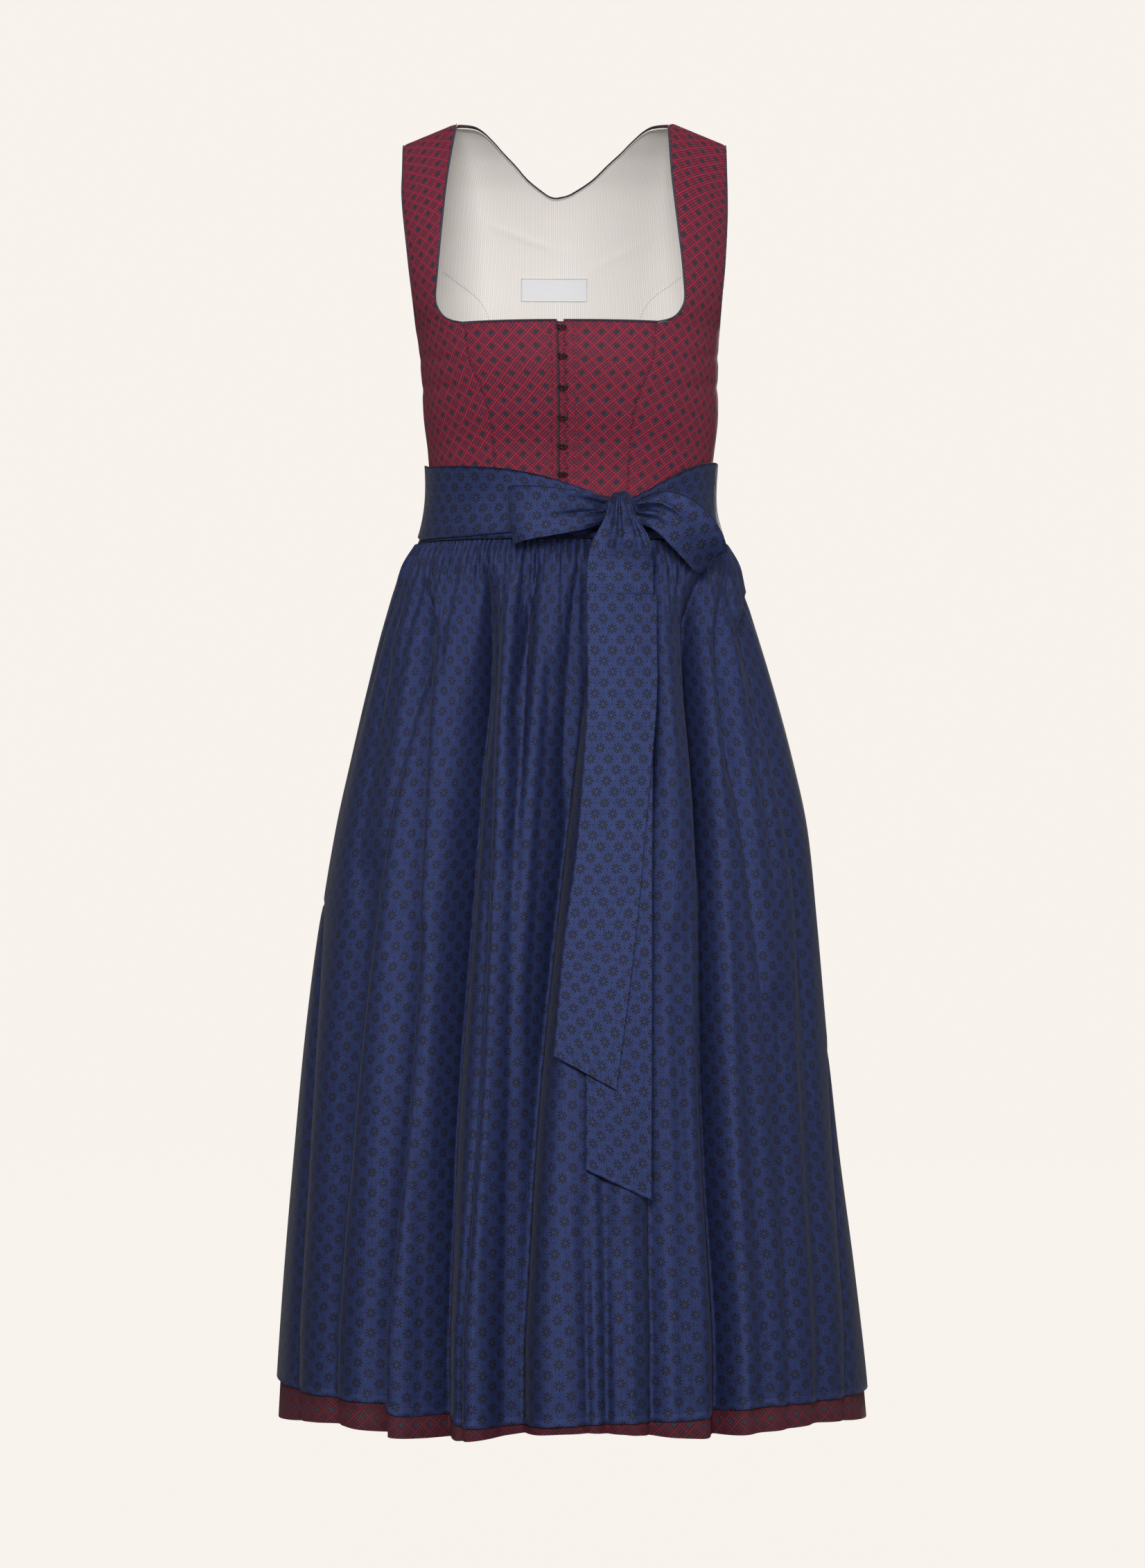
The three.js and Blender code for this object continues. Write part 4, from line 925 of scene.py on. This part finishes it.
def fold_depth(angle, height):
    """How far the main folds sink the cloth below the form."""
    grown = smooth_step(APRON_TOP, -520, height)
    spread = spread_at(angle, height)
    depth = np.zeros(np.broadcast(angle, height).shape)
    for xs, deep, left, right, top in FOLDS:
        centre = angle_at(along_folds(xs, height), height)
        growth = grown * (1 + (top - 1) * smooth_step(-800, -450, height))
        depth += deep * growth * hump((angle - centre) * spread, left, right)
    for at, deep, left, right in BACK_FOLDS:
        turn = angle - at * DEG
        turn = turn - 2 * math.pi * np.round(turn / (2 * math.pi))
        growth = grown * (0.45 + 0.55 * smooth_step(-450, -900, height))
        depth += deep * growth * hump(turn * spread, left, right)
    return depth


CREASE_STRENGTH = 1.4
CREASE_WIDENING = 1.1
PLEAT_STRENGTH = 1.35


def crease_depth(angle, height):
    """How far the small creases and crisp pleats sink the cloth."""
    spread = spread_at(angle, height)
    depth = np.zeros(np.broadcast(angle, height).shape)
    for x_top, x_low, z_top, z_low, deep, reach in CREASES:
        share = np.clip((height - z_top) / (z_low - z_top), 0, 1)
        centre = angle_at(x_top + (x_low - x_top) * share, height)
        ends = smooth_step(z_top + 14, z_top - 20, height) * smooth_step(z_low - 70, z_low + 10, height)
        reach = reach * CREASE_WIDENING
        depth += CREASE_STRENGTH * deep * ends * valley((angle - centre) * spread, reach, reach)
    for xs, deep, left, right, shares in PLEATS:
        centre = angle_at(along_folds(xs, height), height)
        strong = along_folds(shares, height) * smooth_step(APRON_TOP, -450, height)
        depth += PLEAT_STRENGTH * deep * strong * valley((angle - centre) * spread, left, right)
    return depth


def gather_depths(below):
    """Depths of the fine, the middle and the wide gathers at a distance below their band."""
    return (3.2 * np.exp(-(below / 34) ** 2),
            3.0 * smooth_step(0, 22, below) * np.exp(-(below / 70) ** 2),
            4.0 * smooth_step(15, 60, below) * np.exp(-(below / 150) ** 2))


def gathers(angle, height, waves, top, strength):
    """Fine gathers below a band: narrow ridges that merge into wider ones further down."""
    drift = 0.9 * np.sin(angle * 7.3) + 0.6 * np.sin(angle * 17.1 + 1.0) + 0.3 * np.sin(angle * 41 + 2)
    phase = angle / (2 * APRON_REACH * DEG) * waves * math.pi + drift
    below = top - height
    fine = 1 - np.abs(np.sin(phase)) ** 0.8
    middle = 1 - np.abs(np.sin(phase * 0.5 + 0.9 + 0.004 * below))
    wide = 1 - np.abs(np.sin(phase * 0.235 + 2.0 + 0.002 * below))
    uneven = 0.75 + 0.25 * np.sin(angle * 23 + 0.5)
    depths = zip((fine, middle, wide), gather_depths(below))
    return strength * uneven * sum(ridge * deep for ridge, deep in depths)


def gathers_floor(height, top, strength):
    """The deepest that the gathers sink at a height, for the cloth that lies under them."""
    return strength * sum(gather_depths(top - height))


def hem_height(angle, piece):
    return between(HEMS, "angle", piece, angle / DEG)


def hanging_rows(start, end, rows, lowest, columns, hem, offset, cloth, width, top):
    """Grids of a hanging wall whose columns follow its threads: they share each row's length evenly."""
    dense = np.linspace(start, end, 3000)
    outer, inner = [], []
    for z in rows:
        def line(angle, inward):
            height = z + (hem_height(angle, hem) - lowest) * smooth_step(-900, lowest, z)
            return level_out(angle, height, offset(angle, height) - fold_depth(angle, height) - inward)
        lengths = arc_lengths(line(dense, 0))
        angle = np.interp(np.linspace(0, lengths[-1], columns), lengths, dense)
        outer.append(line(angle, 0))
        inner.append(line(angle, cloth))
    across = (np.linspace(0, 1, columns) - 0.5) * width / 10
    down = (top - np.array(rows)) / 10
    uv = np.stack(np.broadcast_arrays(across[None, :], down[:, None]), -1)
    return np.array(outer), np.array(inner), uv


def spaced_rows(top, low, count, power=1.6):
    """Heights from top to low, closer together near the top."""
    return list(top + (low - top) * np.linspace(0, 1, count) ** power)


APRON_LIFT = 3.4            # from the form to the apron's outer face
APRON_WAVE = 3.6            # how much further the gathers push it out
GATHERS = 104               # fine gathers along the apron's top
GATHER_STRENGTH = 1.0
SKIRT_GATHERS = 96
SKIRT_GATHER_STRENGTH = 0.9


def make_skirt():
    """One front, whose cloth keeps clear of the apron's folds, and two back halves with gathers that show."""
    def under(angle, height):
        covered = (smooth_step(116 * DEG, 109 * DEG, np.abs(angle))
                   * smooth_step(WAIST_SEAM, APRON_TOP, height))
        sunk = gathers_floor(height, APRON_TOP, GATHER_STRENGTH) + crease_depth(angle, height)
        seen = gathers(angle, height, SKIRT_GATHERS, WAIST_SEAM, SKIRT_GATHER_STRENGTH)
        behind = np.where(np.abs(angle) > math.pi / 2, seen, 0)
        return -covered * np.maximum(sunk - 1.0, 0) - (1 - covered) * behind

    for name, start, end, row_count, columns, width, cut, area, nodes in (
        ("front", -90, 90, 60, 260, 840, 0.90, 0.70, ["skirt_front_left", "skirt_front_right"]),
        ("back_right", 89.9, 180.2, 90, 220, 420, 0.45, 0.35, ["skirt_back_right"]),
        ("back_left", -180.2, -89.9, 90, 220, 420, 0.45, 0.35, ["skirt_back_left"]),
    ):
        rows = spaced_rows(WAIST_SEAM - SEAM, SKIRT_HEM, row_count)
        outer, inner, uv = hanging_rows(start * DEG, end * DEG, rows, SKIRT_HEM, columns, "skirt", under,
                                        CLOTH, width, rows[0])
        placed(shell(f"skirt_shell_{name}", outer, inner, uv, MATERIALS["skirt"]), nodes)


def apron_swell(height):
    """How far the apron bulges out below its band."""
    return APRON_WAVE * smooth_step(-455, APRON_TOP, height) ** 1.5


def make_apron():
    """The apron, with three times as many columns in its top rows, where the gathers are fine."""
    reach = APRON_REACH * DEG
    lowest, dense_to, width, cloth = -1110, -452, 1000, 1.1

    def offset(angle, height):
        full = apron_swell(height) * smooth_step(APRON_TOP + 12, APRON_TOP - 20, height)
        sunk = gathers(angle, height, GATHERS, APRON_TOP, GATHER_STRENGTH) + crease_depth(angle, height)
        return APRON_LIFT + full - sunk

    coarse_columns, factor = 321, 3
    fine_columns = (coarse_columns - 1) * factor + 1
    top_rows = spaced_rows(APRON_TOP - SEAM, dense_to, 19, 1.3)
    low_rows = list(np.linspace(dense_to - 5.5, lowest, 88))
    fine, coarse = (
        hanging_rows(-reach, reach, rows, lowest, columns, "apron", offset, cloth, width, APRON_TOP)
        for rows, columns in ((top_rows, fine_columns), (low_rows, coarse_columns))
    )
    apron = two_part_shell("apron_shell", fine, coarse, MATERIALS["apron"])
    placed(apron, ["apron"])


def make_waistband():
    """The apron's band, which the gathers below it dent a little."""
    reach = APRON_REACH * DEG
    angle, height = np.broadcast_arrays(np.linspace(-reach, reach, 260)[None, :],
                                        np.linspace(APRON_TOP, -340, 14)[:, None])
    dents = 0.25 * gathers(angle, np.full_like(height, APRON_TOP), GATHERS, APRON_TOP, 0.5)
    outer = out_from(angle, height, 2.1 - dents)
    inner = out_from(angle, height, np.full_like(angle, 0.7))
    band = shell("waistband_shell", outer, inner, cloth_uv(outer), MATERIALS["tie"])
    placed(band, ["apron_waistband"])


TIE_EDGES = dict(
    x=[-130, -70, -43, -15, 16, 34, 48, 67, 87, 107, 128],
    top=[-305, -309, -313, -320, -331, -339, -337, -327, -315, -305, -299],
    bottom=[-371.5, -369, -367, -366, -365, -360, -360, -364, -367, -370, -371.5],
)
BACK_TIE = dict(top=-302, bottom=-366)
KNOT = dict(x=41, y=-113.4, z=-348.5, half_width=12, half_depth=14.5, half_height=17.5)


def make_ties():
    """Both bands run from the knot round to the back, where the left one lies over the right one."""
    overlap, half_gap = 14 * DEG, 0.004
    knot_angle = float(angle_at(KNOT["x"], KNOT["z"]))
    for name, start, end, lifted in (("left", knot_angle - half_gap, -math.pi - overlap, True),
                                     ("right", knot_angle + half_gap, math.pi + overlap, False)):
        angle = np.linspace(start, end, 200)[None, :]
        x = form_point(angle, -340.0)[..., 0]
        share = np.where(np.cos(angle) < 0, 1.0, smooth_step(70 * DEG, 90 * DEG, np.abs(angle)))
        top = between(TIE_EDGES, "x", "top", x) * (1 - share) + BACK_TIE["top"] * share
        low = between(TIE_EDGES, "x", "bottom", x) * (1 - share) + BACK_TIE["bottom"] * share
        v = np.linspace(0, 1, 26)[:, None]
        height = top + (low - top) * v
        angle = np.broadcast_to(angle, height.shape)
        lift = 2.1 * smooth_step(140 * DEG, 160 * DEG, np.abs(angle)) if lifted else 0.0
        to_knot = np.exp(-((x - KNOT["x"]) / 42) ** 2) * (np.cos(angle) > 0)
        folds = to_knot * (np.sin(v * 15 + 0.4) * 1.1 + np.sin(v * 26 + x * 0.04) * 0.5)
        slack = 0.5 * np.sin(x / 17 + v * 4) * (1 - to_knot)
        outer = out_from(angle, height, 4.3 + lift + folds + slack)
        inner = out_from(angle, height, 3.0 + lift + folds * 0.3 + slack * 0.4)
        band = shell(f"tie_shell_{name}", outer, inner, cloth_uv(outer), MATERIALS["tie"])
        placed(band, [f"tie_band_{name}"])


LEFT_LOOP = [
    (28.9, -340, 28.9, -358, -116), (10, -334, 10, -365, -125), (-15, -330, -14, -370, -129),
    (-38, -328, -37, -374, -128), (-53, -328, -49, -377, -122), (-55, -330, -50, -375, -115),
    (-46, -333, -42, -369, -110.5), (-12, -337, -11, -363, -110), (28.9, -342, 28.9, -357, -111.5),
]
RIGHT_LOOP = [
    (53.1, -340, 53.1, -357, -116), (76, -332, 70, -366, -121), (97, -337, 84, -379, -120),
    (115, -350, 95, -390, -115), (127, -366, 103, -398, -108), (132, -381, 109, -400, -100),
    (126, -378, 107, -396, -93.5), (106, -354, 93, -380, -98.5), (80, -342, 75, -364, -105),
    (53.1, -343, 53.1, -356, -111.5),
]


def smooth_path(rows, count):
    """Rows of numbers resampled along a Catmull-Rom curve."""
    rows = np.array(rows, float)
    padded = np.concatenate([2 * rows[:1] - rows[1:2], rows, 2 * rows[-1:] - rows[-2:-1]])
    found = []
    for t in np.linspace(0, len(rows) - 1, count):
        i = min(int(t), len(rows) - 2)
        f = t - i
        p0, p1, p2, p3 = padded[i:i + 4]
        found.append(0.5 * (2 * p1 + (p2 - p0) * f + (2 * p0 - 5 * p1 + 4 * p2 - p3) * f**2
                            + (3 * p1 - p0 - 3 * p2 + p3) * f**3))
    return np.array(found)


def across_path(path, column, share):
    """Points between a path's two edges, whose values of one kind stand two columns apart."""
    first, second = path[:, column:column + 1], path[:, column + 2:column + 3]
    return first + (second - first) * share


def surface_normals(grid):
    return unit(np.cross(np.gradient(grid, axis=0), np.gradient(grid, axis=1)))


def make_bow():
    """Both loops: cloth pinched into pleats at the knot, with one long fold and a soft wave further out."""
    for name, rows, flat, fold_line in (("left", LEFT_LOOP, (0.18, 0.045), 0.50),
                                        ("right", RIGHT_LOOP, (0.19, 0.042), 0.30)):
        path = smooth_path(rows, 120)
        v = np.linspace(0, 1, 40)[None, :, None]
        a = np.stack([path[:, 0], path[:, 4], path[:, 1]], -1)[:, None]
        b = np.stack([path[:, 2], path[:, 4], path[:, 3]], -1)[:, None]
        grid = a + (b - a) * v
        reach = np.linspace(0, 1, 120)[:, None]
        from_knot = np.minimum(reach, 1 - reach)
        pinch = np.exp(-(from_knot / 0.13) ** 2)
        spread = 1 - pinch
        w = v[..., 0]
        wave = pinch * (1.9 * np.sin(w * 17 + 0.6) + 0.8 * np.sin(w * 29))
        from_fold = np.abs(w - fold_line - (reach - 0.1) * 0.55)
        crease = np.exp(-from_fold / 0.05) * np.exp(-((reach - 0.13) / 0.13) ** 2)
        wave = wave - 3.2 * crease + spread * 0.9 * np.sin(w * 5.2 + reach * 9)
        normal = surface_normals(grid)
        middle = grid + normal * wave[..., None] * smooth_step(0, 0.02, from_knot)[..., None]
        normal = surface_normals(middle)
        outer, inner = middle + normal * 0.6, middle - normal * 0.6
        uv = cloth_uv(outer.transpose(1, 0, 2)).transpose(1, 0, 2)
        loop = shell(f"bow_shell_{name}", outer, inner, uv, MATERIALS["tie"])
        placed(loop, [f"bow_loop_{name}"])


def make_knot():
    """The knot's lump of folded cloth, which the front tail's head lies over."""
    sides, count, lean = 64, 26, 0.12
    turns = np.linspace(0, 2 * math.pi, sides, endpoint=False)
    rings = []
    for t in np.linspace(-1, 1, count + 2)[1:-1]:
        waist = math.cos(t * math.pi / 2) ** 0.55
        crease = 1 + 0.05 * np.sin(turns * 6 + 2.0 * t) + 0.03 * np.sin(turns * 11 + 2)
        x = KNOT["half_width"] * waist * np.sin(turns) * crease
        y = -KNOT["half_depth"] * waist * np.cos(turns) * crease
        z = np.full_like(x, KNOT["half_height"] * t)
        rings.append(np.stack([x + lean * z, y, z], -1))
    centre = np.array([KNOT["x"], KNOT["y"], KNOT["z"]])
    ends = [centre + [lean * h, 0, h] for h in (-KNOT["half_height"], KNOT["half_height"])]
    points = np.concatenate([(np.array(rings) + centre).reshape(-1, 3), np.array(ends)])
    faces = []
    for r in range(count - 1):
        for s in range(sides):
            a, b = r * sides + s, r * sides + (s + 1) % sides
            faces.append([a, b, b + sides, a + sides])
    for s in range(sides):
        after = (s + 1) % sides
        faces.append([count * sides, after, s])
        faces.append([count * sides + 1, (count - 1) * sides + s, (count - 1) * sides + after])
    along = np.repeat(np.linspace(0, 3.5, count), sides)
    uvs = np.concatenate([np.stack([along, np.tile(turns * 1.3, count)], -1), [[0, 0], [3.5, 0]]])
    placed(make_mesh("knot_lump", points, faces, uvs, [MATERIALS["tie"]]), ["bow_knot"])


TAIL_HEAD = [        # the front tail's start over the knot: x and height of both edges, and y
    (34, -333.5, 47, -334.5, -123), (31.5, -340, 49.5, -341, -130), (29.5, -349, 52, -349.5, -131.5),
    (26, -358, 57, -358, -131), (20.5, -368, 63, -368, -129.8), (15.5, -378, 67, -378, -128.8),
    (12.6, -390, 68.6, -390, -128.2), (11.8, -404, 68.9, -404, -128.8), (11.7, -420, 68.8, -420, -130.5),
]
FRONT_TAIL = [
    (11.7, -420, 68.8, -420), (11.7, -450, 68.6, -450),
    (11.7, -516, 68.4, -516), (4, -628, 59, -628), (-7, -713, 51, -716), (-15.7, -809, 35.9, -838),
]
BACK_TAIL = [
    (31, -368.6, 51, -368.6), (22, -376, 60, -376), (13, -386, 67, -386), (12, -500, 67, -500),
    (11, -620, 66, -620), (11, -760, 65.5, -765), (11, -904, 65, -930),
]


TAILS = (       # name, path, lift off the apron, flat size
    ("front", FRONT_TAIL, 5.6, (0.057, 0.50)),
    ("back", BACK_TAIL, 2.0, (0.055, 0.56)),
)
TAIL_EASE = 0.45


def on_apron(x, z, lift):
    """Points that lie in front of the apron's smooth form."""
    return level_out(angle_at(x, z), z, APRON_LIFT + apron_swell(z) + lift)


def tail_head(u, lift):
    """The front tail's start, folded over the knot, which settles onto the apron below it."""
    head = smooth_path([(*row[:4], row[4]) for row in TAIL_HEAD], 60)
    x, z = across_path(head, 0, u), across_path(head, 1, u)
    bulge = np.cos((u - 0.5) * math.pi * 0.9)
    y = head[:, 4:5] + (1 - bulge) * 9 * smooth_step(-392, -345, z)
    fold = np.sin(u * 21 + 0.9) * 1.0 + np.sin(u * 34 + 2.2) * 0.5
    y = y - fold * smooth_step(-405, -362, z) * (1 - 0.6 * smooth_step(-345, -333, z))
    settle = smooth_step(-374, -419.9, z)
    settled = on_apron(x, z, lift + TAIL_EASE)
    return np.stack([x, y * (1 - settle) + settled[..., 1] * settle, z], -1)


def make_tails():
    """Both hanging ends of the tie, with narrow hems along their edges and ripples below the knot."""
    u = np.linspace(0, 1, 36)[None, :]
    hem = 0.35 * (np.exp(-((u - 0.02) / 0.02) ** 2) + np.exp(-((u - 0.98) / 0.02) ** 2))
    for name, rows, lift, flat in TAILS:
        path = smooth_path(rows, 240)
        x, z = across_path(path, 0, u), across_path(path, 1, u)
        pinch = np.exp(-((z + 366) / 22) ** 2)
        sway = 0.3 * np.sin(z / 41 + u * 2)
        ripple = 0.9 * pinch * np.sin(u * 19 + 0.7) + sway + 0.45 * np.sin(z / 97 + 1.3)
        points = on_apron(x, z, lift + TAIL_EASE + ripple * 0.7 + hem)
        if name == "front":
            rippled = smooth_step(-420, -450, points[..., 2])[..., None]
            points = points * rippled + on_apron(x, z, lift + TAIL_EASE) * (1 - rippled)
            points = np.concatenate([tail_head(u, lift), points[1:]])
        outer, inner = points - [0, 0.6, 0], points + [0, 0.5, 0]
        tail = shell(f"tail_shell_{name}", outer, inner, cloth_uv(outer), MATERIALS["tie"])
        placed(tail, [f"tail_{name}"])


LIGHTS = (      # name, place, size and power
    ("front_light", (-0.35, -4.0, 0.85), 1.2, 142), ("fill_light", (1.5, -4.0, -0.2), 1.4, 46),
    ("side_light_left", (-3.6, -0.6, 0.5), 1.4, 26), ("side_light_right", (3.6, -0.3, 0.4), 1.4, 30),
    ("back_light", (0.6, 4.3, 0.8), 1.6, 130), ("top_light", (0.0, -0.4, 2.6), 1.6, 14),
)
LIT_PLACE = Vector((0, 0, -0.55))


def make_room():
    """Round cream room: a floor that curves up into the wall, and a ceiling."""
    floor_z, wall, ceiling, cove = -1.33, 7.0, 6.5, 1.5
    profile = [(0.02, floor_z)]
    for k in range(11):
        turn = k / 10 * math.pi / 2
        profile.append((wall - cove + cove * math.sin(turn), floor_z + cove - cove * math.cos(turn)))
    profile += [(wall, ceiling), (0.02, ceiling)]
    sides = 96
    verts = [(r * math.cos(2 * math.pi * k / sides), r * math.sin(2 * math.pi * k / sides), z)
             for r, z in profile for k in range(sides)]
    faces = []
    for i in range(0, (len(profile) - 1) * sides, sides):
        for k in range(sides):
            after = (k + 1) % sides
            faces.append((i + k, i + after, i + sides + after, i + sides + k))
    faces.append(tuple(range(sides)))
    mesh = bpy.data.meshes.new("studio_floor")
    mesh.from_pydata(verts, [], faces)
    mesh.polygons.foreach_set("use_smooth", [True] * len(faces))
    floor = bpy.data.objects.new("studio_floor", mesh)
    bpy.context.scene.collection.objects.link(floor)
    paper = Nodes("studio_paper").finish((0.003, 0.003, 0.003), 0.95, Specular_IOR_Level=0.0,
                                         Emission_Color=(0.935, 0.89, 0.837, 1), Emission_Strength=1.0)
    mesh.materials.append(paper)
    floor.visible_diffuse = False
    floor.visible_glossy = False


def make_lights():
    """A weak even light from the air, and a soft lamp on each side."""
    world = bpy.data.worlds.new("studio_air")
    world.use_nodes = True
    air_color, air_strength = world.node_tree.nodes["Background"].inputs[:2]
    air_color.default_value = (1.0, 0.98, 0.95, 1)
    air_strength.default_value = 0.14
    bpy.context.scene.world = world
    for name, place, size, power in LIGHTS:
        light = bpy.data.lights.new(name, "AREA")
        light.size = size
        light.energy = power
        lamp = bpy.data.objects.new(name, light)
        lamp.location = place
        lamp.visible_camera = False
        lamp.rotation_euler = (LIT_PLACE - Vector(place)).to_track_quat("-Z", "Y").to_euler()
        bpy.context.scene.collection.objects.link(lamp)


def make_camera():
    """The camera at the photograph's place and angle."""
    camera = bpy.data.cameras.new("camera")
    camera.sensor_fit = "VERTICAL"
    camera.sensor_height = 24
    photo_height, focal_pixels = 2262, 6229.5
    camera.lens = camera.sensor_height * focal_pixels / photo_height
    eye = bpy.data.objects.new("camera", camera)
    eye.location = (0, -3.8, -0.582)
    eye.rotation_euler = (math.pi / 2, 0, 0)
    bpy.context.scene.collection.objects.link(eye)
    bpy.context.scene.camera = eye
    bpy.context.scene.view_settings.view_transform = "Standard"


make_room()
make_lights()
make_camera()
make_bodice()
make_lining()
make_label()
make_piping()
make_closure()
make_hooks()
make_skirt()
make_apron()
make_waistband()
make_ties()
make_bow()
make_knot()
make_tails()
